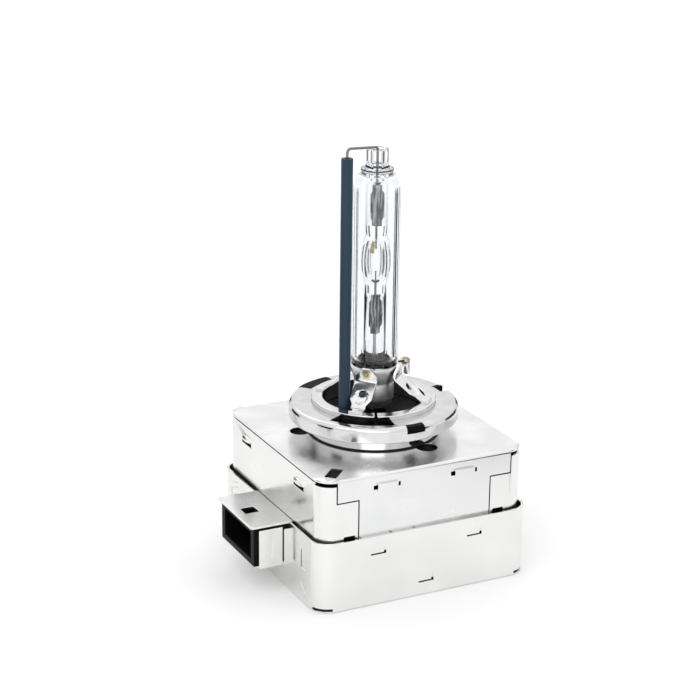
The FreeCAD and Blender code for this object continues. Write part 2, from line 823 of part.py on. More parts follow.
def base_insulator():
    """The moulded base: a hub through the top plate, a disc inside the ring with keys, and a floor."""
    floor, hub = sizes.insulator_floor_level, sizes.band_bore - 0.1
    outer = sizes.flange_radius - sizes.flange_sheet - sizes.clearance
    inner = sizes.neck_radius - sizes.neck_sheet - 0.1
    groove = sizes.band_bore + sizes.band_sheet + 0.2
    under_band = sizes.band_foot_level - sizes.clearance
    body = turned("insulator_blank", [
        (sizes.stem_radius + 0.3, sizes.cover_level - 2.0), (8.5, sizes.cover_level - 2.0),
        (8.5, sizes.cover_level - 1.2), (hub, sizes.cover_level - 1.2), (hub, sizes.cover_level + 0.1),
        (inner, sizes.cover_level + 0.1), (inner, -2.3), (outer, -2.3), (outer, -1.3), (groove, -1.3),
        (groove, under_band), (hub - 0.1, under_band), (hub - 0.1, floor), (sizes.stem_radius + 0.3, floor),
    ])
    x, y = polar(sizes.sleeve_reach, sizes.sleeve_turn)
    boss = cylinder("sleeve_boss", sizes.sleeve_radius + 1, floor - 1, floor + 1.4, x, y)
    boss = common("trimmed_boss", boss, cylinder("boss_room", hub - 0.1, floor - 2, floor + 3))
    side_gap = 0.4
    keys = [
        sector(f"{name}_key", root + sizes.clearance, sizes.flange_radius - sizes.key_inset,
               -sizes.notch_depth + sizes.clearance, -sizes.key_sink, key_start + side_gap, end - side_gap)
        for name, root, start, end, key_start in key_notches()
    ]
    hole = cylinder("sleeve_hole", sizes.sleeve_radius + sizes.clearance, -20, 5, x, y)
    keep(cut("base_insulator", fuse("insulator_with_boss", body, boss, *keys), hole), "base_insulator")


def neck_gasket():
    """The dark seal between the ring's neck and the top plate."""
    top, foot = sizes.neck_level - 0.02, sizes.cover_level + 0.02
    keep(turned("gasket_body", [
        (sizes.neck_radius - 0.5, foot), (sizes.gasket_radius, foot),
        (sizes.gasket_radius, top), (sizes.neck_radius - 0.5, top),
    ]), "neck_gasket")


def support_leg(name, degrees):
    """A bent strip from the collar, down and out to the band, with a gabled top and a narrow foot."""
    sheet, width, band = sizes.leg_sheet, sizes.leg_width, sizes.band_level
    top, drop = sizes.collar_top_level + sizes.leg_tip_rise, sizes.leg_gable_drop
    tip_x, knee_x = sizes.leg_tip_reach, sizes.leg_knee_reach
    bend_x, end_x = sizes.leg_foot_bend, sizes.leg_foot_reach
    knee, inner_bend, outer_bend = sizes.leg_knee_level, sizes.leg_inner_bend, sizes.leg_outer_bend
    body = new_body(f"{name}_body")
    side = new_sketch(body, f"{name}_side", "XZ_Plane")
    outline(side, [
        (tip_x + sheet, top), (knee_x + sheet, knee + 0.3, inner_bend),
        (bend_x + 0.2, band + sheet, inner_bend), (end_x, band + sheet),
        (end_x, band), (bend_x, band, outer_bend), (knee_x, knee, outer_bend), (tip_x, top),
    ])
    pad(body, f"{name}_pad", side, width, both_ways=True)
    half, foot, tip = width * 0.5, sizes.leg_foot_width * 0.5, sizes.leg_tip_width * 0.5
    taper_x = sizes.leg_taper_reach
    for edge in (-1, 1):
        gable = new_sketch(body, f"{name}_gable", "YZ_Plane")
        outline(gable, [
            (edge * tip, top + 1), (edge * (half + 1), top + 1),
            (edge * (half + 1), top - drop), (edge * half, top - drop), (edge * tip, top - 0.1),
        ])
        pocket_through(body, f"{name}_gable_cut", gable)
        taper = new_sketch(body, f"{name}_taper", "XY_Plane")
        outline(taper, [
            (end_x + 1, edge * foot), (end_x + 1, edge * (half + 1)), (taper_x, edge * (half + 1)),
            (taper_x, edge * half), (taper_x + 1, edge * foot, 0.4),
        ])
        pocket_through(body, f"{name}_taper_cut", taper)
    hole = new_sketch(body, f"{name}_hole", "XY_Plane")
    circle(hole, sizes.leg_hole_radius, sizes.leg_hole_reach)
    pocket_through(body, f"{name}_hole_cut", hole)
    keep(turn(body, degrees), name)


def burner_collar():
    """The flared cup round the burner's foot, stepped in at its lower edge."""
    foot, top, flare = sizes.collar_foot_level, sizes.collar_top_level, sizes.collar_flare
    radius, sheet = sizes.collar_radius, sizes.collar_sheet
    step, inner = radius - sheet * 1.2, radius - sheet * 2.2
    keep(turned("collar_body", [
        (inner, foot), (step, foot), (step, foot + 0.8), (radius, foot + 1.1),
        (radius, top - 3.3, 2.0), (flare, top), (flare - sheet, top + 0.05),
        (radius - sheet, top - 3.2, 2.0), (radius - sheet, foot + 1.5), (inner, foot + 1.2),
    ]), "burner_collar")


def collar_clamp_ear():
    """The two folded ends of the collar's strap, standing out beside the right leg."""
    radius, top, reach = sizes.collar_flare, sizes.collar_top_level, sizes.ear_reach
    low, half = top - sizes.ear_height, sizes.ear_width * 0.5
    outer = box("ear_outer", (radius + 0.05, -half, low), (reach, half, top + 0.1))
    slit = box("ear_slit", (radius + 0.6, -0.15, low - 1), (reach + 1, 0.15, top + 2))
    notch = box("ear_notch", (radius - 1, -half - 1, low - 1), (reach - 1.3, half + 1, top - 1.5))
    keep(cut("collar_clamp_ear", outer, slit, notch), "collar_clamp_ear")


def burner_seat():
    """The dark cement ring between the collar and the burner's foot."""
    stem = sizes.stem_radius + sizes.clearance
    wall = sizes.collar_radius - sizes.collar_sheet - sizes.clearance
    keep(turned("seat_body", [
        (stem, 3.0), (wall, 3.0), (wall, 4.3), (4.0, 6.3), (4.08, 6.95), (3.3, 6.2), (stem, 6.05),
    ]), "burner_seat")


# ---------------------------------------------------------------- burner


def outer_envelope():
    """The outer quartz tube, drawn in at both ends onto the arc tube's stems."""
    outer, bore, stem = sizes.envelope_radius, sizes.envelope_bore, sizes.stem_radius
    foot, top = sizes.envelope_foot_level, sizes.envelope_top_level
    keep(turned("envelope_body", [
        (stem, foot), (3.2, foot + 0.1, 0.8), (outer, foot + 1.9, 2.5),
        (outer, top - 2.5, 2.5), (sizes.bead_radius, top - 0.9, 0.3), (sizes.bead_radius, top - 0.2, 0.3),
        (stem, top),
        (stem, top - 1.7), (2.9, top - 1.9, 0.6), (bore, top - 3.2, 2.0),
        (bore, foot + 2.3, 2.0), (2.9, foot + 1.0, 0.6), (stem, foot + 0.8),
    ]), "outer_envelope")


def foil(name, low):
    """A molybdenum ribbon, wider in its middle, standing in the X-Z plane."""
    body = new_body(f"{name}_body")
    sketch = new_sketch(body, f"{name}_outline", "XZ_Plane")
    length = sizes.foil_length
    narrow, wide = sizes.foil_end_width * 0.5, sizes.foil_width * 0.5
    outline(sketch, [
        (narrow, low), (narrow, low + 1.2), (wide, low + 1.8), (wide, low + length - 1.8),
        (narrow, low + length - 1.2), (narrow, low + length), (-narrow, low + length),
        (-narrow, low + length - 1.2), (-wide, low + length - 1.8), (-wide, low + 1.8),
        (-narrow, low + 1.2), (-narrow, low),
    ])
    pad(body, f"{name}_pad", sketch, sizes.foil_thickness, both_ways=True)
    return keep(body, name)


def burner_core():
    """The arc tube with its foils, electrodes and leads sealed in."""
    centre, stem, length = sizes.light_centre_level, sizes.stem_radius, sizes.foil_length
    upper_low = centre + sizes.foil_start
    lower_low = centre - sizes.foil_start - length
    foils = [foil("upper_foil", upper_low), foil("lower_foil", lower_low)]
    radius, arc = sizes.electrode_radius, sizes.arc_half
    upper = keep(cylinder("upper_electrode", radius, centre + arc, upper_low), "upper_electrode")
    lower = keep(cylinder("lower_electrode", radius, lower_low + length, centre - arc), "lower_electrode")
    lead = keep(cylinder("lower_lead", sizes.lead_radius, sizes.wire_foot_level, lower_low), "lower_lead")

    stems = [
        cylinder("lower_stem", stem, sizes.stem_foot_level, centre - sizes.neck_half),
        cylinder("upper_stem", stem, centre + sizes.neck_half, sizes.stem_top_level),
    ]
    bulb = ellipsoid("chamber", sizes.chamber_half, sizes.chamber_radius, 0, 0, centre)
    cavity = ellipsoid("cavity", sizes.cavity_half, sizes.cavity_radius, 0, 0, centre)
    bores = [
        cylinder("upper_bore", sizes.stem_bore, upper_low + length, sizes.stem_top_level + 1),
        cylinder("lower_bore", sizes.lead_bore, sizes.stem_foot_level - 1, lower_low),
    ]
    glass = fuse("arc_tube_blank", bulb, *stems)
    keep(cut("arc_tube", glass, cavity, *bores, *foils, upper, lower), "arc_tube")
    salts = ellipsoid("salts_blank", 0.9, 0.9, -0.95, -0.55, centre + 2.6)
    keep(common("halide_salts", cavity, salts), "halide_salts")


def return_lead():
    """The ceramic sleeve, and the wire that leaves the top stem, crosses over and runs down inside it."""
    x, y = polar(sizes.sleeve_reach, sizes.sleeve_turn)
    foot, top = sizes.sleeve_foot_level, sizes.sleeve_top_level
    outer = cylinder("sleeve_outer", sizes.sleeve_radius, foot, top, x, y)
    inner = cylinder("sleeve_inner", sizes.sleeve_bore, foot - 1, top + 1, x, y)
    keep(cut("ceramic_sleeve", outer, inner), "ceramic_sleeve")

    body = new_body("return_wire_body")
    path = new_sketch(body, "return_wire_path", "XZ_Plane")
    start = sizes.light_centre_level + sizes.foil_start + sizes.foil_length
    wire_route(path, start)
    section = new_sketch(body, "return_wire_section", "XY_Plane", start)
    circle(section, sizes.wire_radius)
    pipe = body.newObject("PartDesign::AdditivePipe", "return_wire_pipe")
    pipe.Profile = section
    pipe.Spine = path
    keep(turn(body, sizes.sleeve_turn.number), "return_wire")


def wire_route(sketch, start):
    """Up, across and down again, with a bend at each corner."""
    reach, foot = sizes.sleeve_reach, sizes.wire_foot_level
    corners = [(0, start), (0, sizes.wire_inner_level, sizes.wire_inner_bend),
               (reach, sizes.wire_outer_level, sizes.wire_outer_bend), (reach, foot)]
    points = [FreeCAD.Vector(Size.of(c[0]).number, Size.of(c[1]).number, 0) for c in corners]
    first = rounded_corner(*points[0:3], corners[1][2].number)
    second = rounded_corner(*points[1:4], corners[2][2].number)
    up = sketch.addGeometry(Part.LineSegment(points[0], first[0]), False)
    bend_1 = sketch.addGeometry(Part.Arc(*first), False)
    across = sketch.addGeometry(Part.LineSegment(first[2], second[0]), False)
    bend_2 = sketch.addGeometry(Part.Arc(*second), False)
    down = sketch.addGeometry(Part.LineSegment(second[2], points[3]), False)
    for line, line_end, arc, arc_end in ((up, 2, bend_1, 2), (across, 1, bend_1, 1),
                                         (across, 2, bend_2, 2), (down, 1, bend_2, 1)):
        sketch.addConstraint(Sketcher.Constraint("Tangent", line, line_end, arc, arc_end))
    for corner, point, arc, before, after in ((corners[1], points[1], bend_1, up, across),
                                              (corners[2], points[2], bend_2, across, down)):
        index = sketch.addConstraint(Sketcher.Constraint("Radius", arc, corner[2].number))
        bind(sketch, f"Constraints[{index}]", corner[2])
        mark = sketch.addGeometry(Part.Point(point), True)
        sketch.addConstraint(Sketcher.Constraint("PointOnObject", mark, 1, before))
        sketch.addConstraint(Sketcher.Constraint("PointOnObject", mark, 1, after))
        fix_point(sketch, mark, 1, corner[0], corner[1])
    fix_point(sketch, up, 1, 0, start)
    fix_point(sketch, down, 2, reach, foot)


# ---------------------------------------------------------------- inside the box


def carrier_frame():
    """The moulded frame and lid that line the box, with a gate for the connector and a bore for the base."""
    half, wall, top = sizes.carrier_half, sizes.carrier_wall, sizes.carrier_top_level
    frame = square_frame("carrier_walls", half, sizes.carrier_corner, wall, sizes.carrier_foot_level, top)
    lid = slab("carrier_lid", rounded_square(half, sizes.carrier_corner), top, top + sizes.carrier_lid)
    bore = cylinder("carrier_bore", sizes.plate_bore, top - 1, top + 2)
    gate = box("carrier_gate", (-half - 1, sizes.connector_right - 0.2, sizes.carrier_foot_level - 1),
               (-half + wall + 1, sizes.connector_left + 0.2, sizes.connector_top_level + 0.5))
    keep(cut("carrier_frame", fuse("carrier_blank", frame, lid), gate, bore), "carrier_frame")


def circuit_board():
    """The board under the transformer, cut away behind the connector."""
    half, low = sizes.board_half, sizes.board_level
    high = low + sizes.board_thickness
    board = slab("board_blank", rounded_square(half, 1.5), low, high)
    gate = box("board_gate", (-half - 1, sizes.connector_right - 0.5, low - 1),
               (sizes.housing_back + 1.5, sizes.connector_left + 0.5, high + 1))
    keep(cut("circuit_board", board, gate), "circuit_board")


def potting_layer():
    """The cast compound that seals the floor of the tray."""
    low = sizes.base_level + sizes.sheet + sizes.clearance
    plan = rounded_square(sizes.tray_half - 0.9, sizes.tray_corner)
    keep(slab("potting_body", plan, low, sizes.potting_level), "potting_layer")


def transformer():
    """Rod core, chambered bobbin, secondary winding in its chambers and primary straps round the outside."""
    x, level, half = sizes.core_x, sizes.core_level, sizes.core_half

    def along(name, radius, start, end):
        return rod(name, radius, (x, start, level), Size.of(end) - start, "Y")

    keep(along("transformer_core", sizes.core_radius, -half, half), "transformer_core")
    tube_end = sizes.bobbin_pitch * 2.5
    bore = along("bobbin_bore", sizes.core_radius + 0.05, -half - 2, half + 2)
    blank = [along("bobbin_tube", sizes.bobbin_radius, -tube_end, tube_end)]
    coils, straps = [], []
    flange = sizes.bobbin_flange_half
    for i in range(6):
        centre = sizes.bobbin_pitch * (i - 2.5)
        blank.append(along(f"bobbin_flange_{i}", sizes.bobbin_flange, centre - flange, centre + flange))
    for i in range(5):
        start = sizes.bobbin_pitch * (i - 2.5) + flange + 0.05
        end = sizes.bobbin_pitch * (i - 1.5) - flange - 0.05
        ring = along(f"coil_outer_{i}", sizes.secondary_radius, start, end)
        core = along(f"coil_inner_{i}", sizes.bobbin_radius + 0.05, start - 1, end + 1)
        coils.append(cut(f"coil_{i}", ring, core))
    keep(cut("transformer_bobbin", fuse("bobbin_blank", *blank), bore), "transformer_bobbin")
    keep(group("secondary_winding", *coils), "secondary_winding")
    for i in range(3):
        centre = sizes.bobbin_pitch * (i - 1)
        start, end = centre - sizes.primary_half, centre + sizes.primary_half
        ring = along(f"strap_outer_{i}", sizes.primary_radius, start, end)
        core = along(f"strap_inner_{i}", sizes.bobbin_flange + 0.05, start - 1, end + 1)
        straps.append(cut(f"strap_{i}", ring, core))
    keep(group("primary_winding", *straps), "primary_winding")


def capped_rod(name, radius, cap_radius, cap_length, base, length, axis):
    """A rod with a wider cap at each end, lying along X or Y from its base point."""
    x, y, level = base
    far = length - cap_length
    other = (x + far, y, level) if axis == "X" else (x, y + far, level)
    near_cap = rod(f"{name}_near_cap", cap_radius, base, cap_length, axis)
    far_cap = rod(f"{name}_far_cap", cap_radius, other, cap_length, axis)
    keep(fuse(name, rod(f"{name}_tube", radius, base, length, axis), near_cap, far_cap), name)


def board_parts():
    """The ignition capacitor, spark gap and bleed resistor that stand on the board."""
    board = sizes.board_level + sizes.board_thickness + sizes.clearance
    left, right = sizes.capacitor_left, sizes.capacitor_right
    front, rear = sizes.capacitor_front, sizes.capacitor_rear
    plan = [(left, front, 1), (right, front, 1), (right, rear, 1), (left, rear, 1)]
    keep(slab("capacitor_body", plan, board, board + sizes.capacitor_height), "ignition_capacitor")
    gap_base = (sizes.gap_left, sizes.gap_centre, board + sizes.gap_cap_radius)
    capped_rod("spark_gap", sizes.gap_radius, sizes.gap_cap_radius, sizes.gap_cap_length,
               gap_base, sizes.gap_length, "X")
    resistor_base = (sizes.resistor_x, sizes.resistor_start, board + sizes.resistor_cap_radius)
    capped_rod("bleed_resistor", sizes.resistor_radius, sizes.resistor_cap_radius, sizes.resistor_cap_length,
               resistor_base, sizes.resistor_length, "Y")


def contacts():
    """The straps from the transformer to the burner's foot lead, and from the return wire to the board."""
    high, sheet = sizes.wire_foot_level - sizes.clearance, sizes.contact_sheet
    low, reach, half = high - sheet, sizes.contact_reach, sizes.contact_half_width
    rear = half * 2.3
    tab = box("contact_tab", (-half, -half, low), (reach, rear, high))
    riser = box("contact_riser", (reach - sheet, rear - half, sizes.core_level), (reach, rear, high))
    keep(fuse("high_voltage_contact", tab, riser), "high_voltage_contact")
    x, y = polar(sizes.sleeve_reach, sizes.sleeve_turn)
    board = sizes.board_level + sizes.board_thickness + sizes.clearance
    return_tab = box("return_tab", (x - half, y - half, low), (x + half, y + half, high))
    return_leg = box("return_leg", (x - half, y + half - sheet, board), (x + half, y + half, high))
    keep(fuse("return_terminal", return_tab, return_leg), "return_terminal")


# ---------------------------------------------------------------- build, check and write


lower_tray()
upper_cover()
side_walls()
connector()
cap_ring()
holder_band()
base_insulator()
neck_gasket()
for leg_name, leg_degrees in (("front", -135), ("right", -45), ("rear", 45), ("left", 135)):
    support_leg(f"support_leg_{leg_name}", leg_degrees)
burner_collar()
collar_clamp_ear()
burner_seat()
outer_envelope()
burner_core()
return_lead()
carrier_frame()
circuit_board()
potting_layer()
transformer()
board_parts()
contacts()

doc.recompute()
for thing in doc.Objects:
    if "Invalid" in thing.State or "Error" in thing.State:
        raise RuntimeError(f"{thing.Label} did not compute: {thing.State}")
for node in NODES:
    if node.Shape.isNull() or not node.Shape.isValid() or not node.Shape.Solids:
        raise RuntimeError(f"{node.Label} has no valid solid")

os.makedirs("parts", exist_ok=True)
for node in NODES:
    node.Shape.exportStep(f"parts/{node.Label}.step")
    print(f"{node.Label}: {len(node.Shape.Solids)} solid(s), {node.Shape.Volume:.2f} mm3")
print(f"{len(NODES)} sub-parts")
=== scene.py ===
import math

import bmesh
import bpy
from mathutils import Matrix, Vector, noise


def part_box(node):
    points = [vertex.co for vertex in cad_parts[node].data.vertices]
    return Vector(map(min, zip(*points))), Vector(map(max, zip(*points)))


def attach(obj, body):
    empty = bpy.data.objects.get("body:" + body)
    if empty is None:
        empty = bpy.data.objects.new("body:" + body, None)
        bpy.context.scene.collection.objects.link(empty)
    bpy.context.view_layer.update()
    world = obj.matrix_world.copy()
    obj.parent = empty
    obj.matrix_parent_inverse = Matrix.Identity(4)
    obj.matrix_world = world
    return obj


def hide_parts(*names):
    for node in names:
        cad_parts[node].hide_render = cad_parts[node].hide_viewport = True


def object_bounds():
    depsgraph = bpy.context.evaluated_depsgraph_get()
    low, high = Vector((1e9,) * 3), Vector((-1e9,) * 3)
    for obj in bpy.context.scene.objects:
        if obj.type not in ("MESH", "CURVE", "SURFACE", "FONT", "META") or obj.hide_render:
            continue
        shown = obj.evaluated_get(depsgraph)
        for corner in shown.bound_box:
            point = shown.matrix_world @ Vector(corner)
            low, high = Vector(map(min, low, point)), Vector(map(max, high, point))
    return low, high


# Looks of a gas-discharge headlamp bulb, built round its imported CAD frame.
# Shapes are drawn in millimetres and placed from the frame's own boxes.

MM = 0.001
TURN = 2 * math.pi
NEARLY_STRAIGHT = math.radians(89)
ARC_STEP = math.radians(9)

QUARTZ_WALL = 0.825
STEM_RADIUS = 2.1

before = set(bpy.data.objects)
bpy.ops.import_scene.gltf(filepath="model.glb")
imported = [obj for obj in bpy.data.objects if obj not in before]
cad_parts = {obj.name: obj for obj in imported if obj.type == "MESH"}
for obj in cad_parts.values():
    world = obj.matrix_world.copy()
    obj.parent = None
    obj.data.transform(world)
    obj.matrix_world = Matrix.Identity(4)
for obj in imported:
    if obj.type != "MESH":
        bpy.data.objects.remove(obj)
cad_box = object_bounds()


# ---------------------------------------------------------------- the frame's own measures


def span(node):
    """Lowest and highest corner of a CAD node, in millimetres."""
    low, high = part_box(node)
    return low / MM, high / MM


def radius_of(node):
    """Half a round node's width along X."""
    low, high = span(node)
    return (high.x - low.x) / 2


def centre_of(node):
    """Middle of a node's box."""
    low, high = span(node)
    return (low + high) / 2


def light_centre():
    """Height of the middle of the arc, half way between the electrodes' tips."""
    return (span("upper_electrode")[0].z + span("lower_electrode")[1].z) / 2


# ---------------------------------------------------------------- meshes


def finish_mesh(name, bm, material, nodes=(), sharp=35, place=None, weighted=True):
    """Turns a bmesh in millimetres into a smooth-shaded piece that rides on the lamp."""
    mesh = bpy.data.meshes.new(name)
    bmesh.ops.recalc_face_normals(bm, faces=bm.faces)
    bmesh.ops.scale(bm, vec=(MM, MM, MM), verts=bm.verts)
    bm.to_mesh(mesh)
    bm.free()
    return finish_object(name, mesh, material, nodes, sharp, place, weighted)


def finish_object(name, mesh, material, nodes=(), sharp=35, place=None, weighted=True):
    """Makes a mesh in metres a piece of the lamp, with its material, slot and replaced nodes."""
    mesh.shade_smooth()
    mesh.set_sharp_from_angle(angle=math.radians(sharp))
    mesh.materials.clear()
    mesh.materials.append(material)
    piece = bpy.data.objects.new(name, mesh)
    bpy.context.scene.collection.objects.link(piece)
    if place is not None:
        piece.matrix_world = place
    if weighted:
        modifier = piece.modifiers.new("even_shading", "WEIGHTED_NORMAL")
        modifier.keep_sharp = True
    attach(piece, "root")
    if nodes:
        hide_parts(*nodes)
    return piece


def rounded(corners, closed=True):
    """Points along an outline of (a, b) or (a, b, radius) corners, with arcs at the rounded ones."""
    points = []
    count = len(corners)
    for i, corner in enumerate(corners):
        here = Vector(corner[:2])
        if len(corner) == 2 or (not closed and i in (0, count - 1)):
            points.append(here)
            continue
        back = (Vector(corners[i - 1][:2]) - here).normalized()
        ahead = (Vector(corners[(i + 1) % count][:2]) - here).normalized()
        half = back.angle(ahead) / 2
        if half > NEARLY_STRAIGHT:
            points.append(here)
            continue
        centre = here + (back + ahead).normalized() * (corner[2] / math.sin(half))
        start = here + back * (corner[2] / math.tan(half)) - centre
        end = here + ahead * (corner[2] / math.tan(half)) - centre
        sweep = start.angle_signed(end)
        steps = max(3, round(abs(sweep) / ARC_STEP))
        for k in range(steps + 1):
            spin = Matrix.Rotation(-sweep * k / steps, 2)
            points.append(centre + spin @ start)
    return points


def lathe(bm, outline, segments=128, closed=True, wobble=None):
    """Turns (radius, height) points about Z. An open outline starts and ends on the axis."""
    rings = []
    for radius, height in outline:
        if radius < 1e-6:
            rings.append([bm.verts.new((0, 0, height))])
            continue
        ring = []
        for k in range(segments):
            angle = TURN * k / segments
            r, h = wobble(radius, height, angle) if wobble else (radius, height)
            ring.append(bm.verts.new((r * math.cos(angle), r * math.sin(angle), h)))
        rings.append(ring)
    pairs = list(zip(rings, rings[1:]))
    if closed:
        pairs.append((rings[-1], rings[0]))
    for lower, upper in pairs:
        for k in range(segments):
            n = (k + 1) % segments
            if len(lower) == 1 and len(upper) == 1:
                break
            if len(lower) == 1:
                bm.faces.new((lower[0], upper[n], upper[k]))
            elif len(upper) == 1:
                bm.faces.new((lower[k], lower[n], upper[0]))
            else:
                bm.faces.new((lower[k], lower[n], upper[n], upper[k]))
    return bm


def tube(bm, points, radius, sides, taper=None):
    """A round wire along points, with closed ends; taper gives the radius share at each point."""
    rings = []
    normal = None
    for i, point in enumerate(points):
        before = points[max(i - 1, 0)]
        after = points[min(i + 1, len(points) - 1)]
        along = (after - before).normalized()
        if normal is None:
            normal = along.orthogonal().normalized()
        normal = (normal - along * normal.dot(along)).normalized()
        other = along.cross(normal)
        r = radius * (taper[i] if taper else 1)
        ring = []
        for k in range(sides):
            angle = TURN * k / sides
            outward = normal * math.cos(angle) + other * math.sin(angle)
            ring.append(bm.verts.new(point + outward * r))
        rings.append(ring)
    for lower, upper in zip(rings, rings[1:]):
        for k in range(sides):
            n = (k + 1) % sides
            bm.faces.new((lower[k], lower[n], upper[n], upper[k]))
    bm.faces.new(list(reversed(rings[0])))
    bm.faces.new(rings[-1])
    return bm


def soften(bm, edges, radius, segments=2):
    """Rounds edges of a mesh."""
    bmesh.ops.bevel(bm, geom=edges, offset=radius, segments=segments, profile=0.5,
                    affect="EDGES", clamp_overlap=True)


def turns_by(edge, degrees):
    """Whether an edge's two faces turn by more than this angle."""
    return len(edge.link_faces) == 2 and edge.calc_face_angle(0) > math.radians(degrees)


def block(bm, low, high, rounding):
    """A box with rounded edges."""
    size = [b - a for a, b in zip(low, high)]
    middle = Vector([(a + b) / 2 for a, b in zip(low, high)])
    made = bmesh.ops.create_cube(bm, size=1)["verts"]
    for vert in made:
        vert.co = middle + Vector([c * s for c, s in zip(vert.co, size)])
    edges = {e for v in made for e in v.link_edges}
    soften(bm, list(edges), rounding)
    return bm


def slab_between(bm, front, back):
    """Closes two equal grids of vertices into one thin solid."""
    rows, columns = len(front) - 1, len(front[0]) - 1
    for i in range(rows):
        for j in range(columns):
            bm.faces.new((front[i][j], front[i][j + 1], front[i + 1][j + 1], front[i + 1][j]))
            bm.faces.new((back[i][j + 1], back[i][j], back[i + 1][j], back[i + 1][j + 1]))
        for j, order in ((0, 1), (columns, -1)):
            bm.faces.new((front[i][j], front[i + 1][j], back[i + 1][j], back[i][j])[::order])
    for j in range(columns):
        bm.faces.new((front[0][j + 1], front[0][j], back[0][j], back[0][j + 1]))
        bm.faces.new((front[rows][j], front[rows][j + 1], back[rows][j + 1], back[rows][j]))


def join(bm, other, offset=(0, 0, 0)):
    """Moves another bmesh by an offset and adds it to this one."""
    bmesh.ops.translate(other, vec=offset, verts=other.verts)
    mesh = bpy.data.meshes.new("joined")
    other.to_mesh(mesh)
    other.free()
    bm.from_mesh(mesh)
    bpy.data.meshes.remove(mesh)
    return bm


def refined(node, name, material, rounding, steps=2, foot_rounding=0):
    """A CAD node's own shape with its hard edges softly rounded, and its lowest outline more so."""
    same_point, same_plane, foot_reach = 0.0008, math.radians(0.5), 0.01
    bm = bmesh.new()
    bm.from_mesh(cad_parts[node].data)
    bmesh.ops.scale(bm, vec=(1 / MM, 1 / MM, 1 / MM), verts=bm.verts)
    bmesh.ops.remove_doubles(bm, verts=bm.verts, dist=same_point)
    bmesh.ops.dissolve_limit(bm, angle_limit=same_plane, verts=bm.verts, edges=bm.edges)
    if foot_rounding:
        floor = span(node)[0].z + foot_reach
        low_edges = [edge for edge in bm.edges if all(v.co.z < floor for v in edge.verts)]
        soften(bm, [edge for edge in low_edges if turns_by(edge, 80)], foot_rounding, 4)
    if rounding:
        soften(bm, [edge for edge in bm.edges if turns_by(edge, 30)], rounding, steps)
    bmesh.ops.triangulate(bm, faces=[f for f in bm.faces if len(f.verts) > 4])
    return finish_mesh(name, bm, material, [node], sharp=32)


# ---------------------------------------------------------------- materials


class Paint:
    """A Principled material and short ways to add procedural detail to it."""

    def __init__(self, name, **sockets):
        self.material = bpy.data.materials.new(name)
        self.material.use_nodes = True
        self.tree = self.material.node_tree
        self.shader = self.tree.nodes["Principled BSDF"]
        for socket, value in sockets.items():
            self.shader.inputs[socket.replace("_", " ")].default_value = value
        self.place = self.tree.nodes.new("ShaderNodeTexCoord")
        self.height = None

    def noise(self, size_mm, detail=4, stretch=(1, 1, 1)):
        """A noise whose features are about size_mm across, stretched along an axis."""
        mapping = self.tree.nodes.new("ShaderNodeMapping")
        mapping.inputs["Scale"].default_value = [1 / s for s in stretch]
        texture = self.tree.nodes.new("ShaderNodeTexNoise")
        texture.inputs["Scale"].default_value = 1 / (size_mm * MM)
        texture.inputs["Detail"].default_value = detail
        self.tree.links.new(self.place.outputs["Object"], mapping.inputs["Vector"])
        self.tree.links.new(mapping.outputs["Vector"], texture.inputs["Vector"])
        return texture.outputs["Fac"]

    def ramp(self, source, stops):
        """A colour ramp with (position, grey or colour) stops."""
        node = self.tree.nodes.new("ShaderNodeValToRGB")
        elements = node.color_ramp.elements
        while len(elements) < len(stops):
            elements.new(0.5)
        for element, (position, value) in zip(elements, stops):
            element.position = position
            colour = (value, value, value) if isinstance(value, (int, float)) else value
            element.color = (*colour, 1)
        self.tree.links.new(source, node.inputs["Fac"])
        return node.outputs["Color"]

    def between(self, source, first, second, start=0.3, end=0.7):
        """A ramp from one grey or colour to another over the middle of a noise."""
        return self.ramp(source, [(start, first), (end, second)])

    def drive(self, socket, output):
        """Feeds a shader socket."""
        self.tree.links.new(output, self.shader.inputs[socket])
        return self

    def relief(self, output, height_mm):
        """Adds a bump of this height on top of any earlier one."""
        node = self.tree.nodes.new("ShaderNodeBump")
        node.inputs["Distance"].default_value = height_mm * MM
        node.inputs["Strength"].default_value = 1
        self.tree.links.new(output, node.inputs["Height"])
        if self.height is not None:
            self.tree.links.new(self.height, node.inputs["Normal"])
        self.height = node.outputs["Normal"]
        self.tree.links.new(self.height, self.shader.inputs["Normal"])
        return self

    def blend(self, share, first, second):
        """Mixes two colours or colour outputs by a share."""
        node = self.tree.nodes.new("ShaderNodeMix")
        node.data_type = "RGBA"
        self.tree.links.new(share, node.inputs[0])
        for index, value in ((6, first), (7, second)):
            if isinstance(value, tuple):
                node.inputs[index].default_value = (*value, 1)
            else:
                self.tree.links.new(value, node.inputs[index])
        return node.outputs[2]


def sheet_metal():
    """Bright tinned sheet: nearly white, with faint rolling lines, smudges and slow waves."""
    paint = Paint("tinned_sheet", Metallic=1.0, Roughness=0.2)
    smudge = paint.noise(9, detail=5)
    lines = paint.noise(0.5, detail=3, stretch=(1, 1, 30))
    paint.drive("Base Color", paint.between(smudge, (0.80, 0.805, 0.78), (0.87, 0.875, 0.85)))
    paint.drive("Roughness", paint.between(smudge, 0.16, 0.28, start=0.35))
    paint.relief(paint.noise(14, detail=1), 0.02)
    paint.relief(lines, 0.0004)
    return paint.material


def shaded_top_sheet_metal():
    """The same sheet on the top plate and connector plate, rolled along X and a little duller, with a
    darker base colour than the walls' sheet as painted shade on these upward faces.
    """
    paint = Paint("tinned_sheet_top_painted_shade", Metallic=1.0, Roughness=0.25)
    smudge = paint.noise(7, detail=6)
    lines = paint.noise(0.4, detail=3, stretch=(30, 1, 1))
    # Darker greys than the walls' sheet: painted shade on the upward plates, which are the same tinned
    # steel.
    paint.drive("Base Color", paint.between(smudge, (0.76, 0.765, 0.76), (0.85, 0.85, 0.84)))
    paint.drive("Roughness", paint.between(smudge, 0.18, 0.30, start=0.35))
    paint.relief(paint.noise(12, detail=2), 0.02)
    paint.relief(lines, 0.0012)
    return paint.material


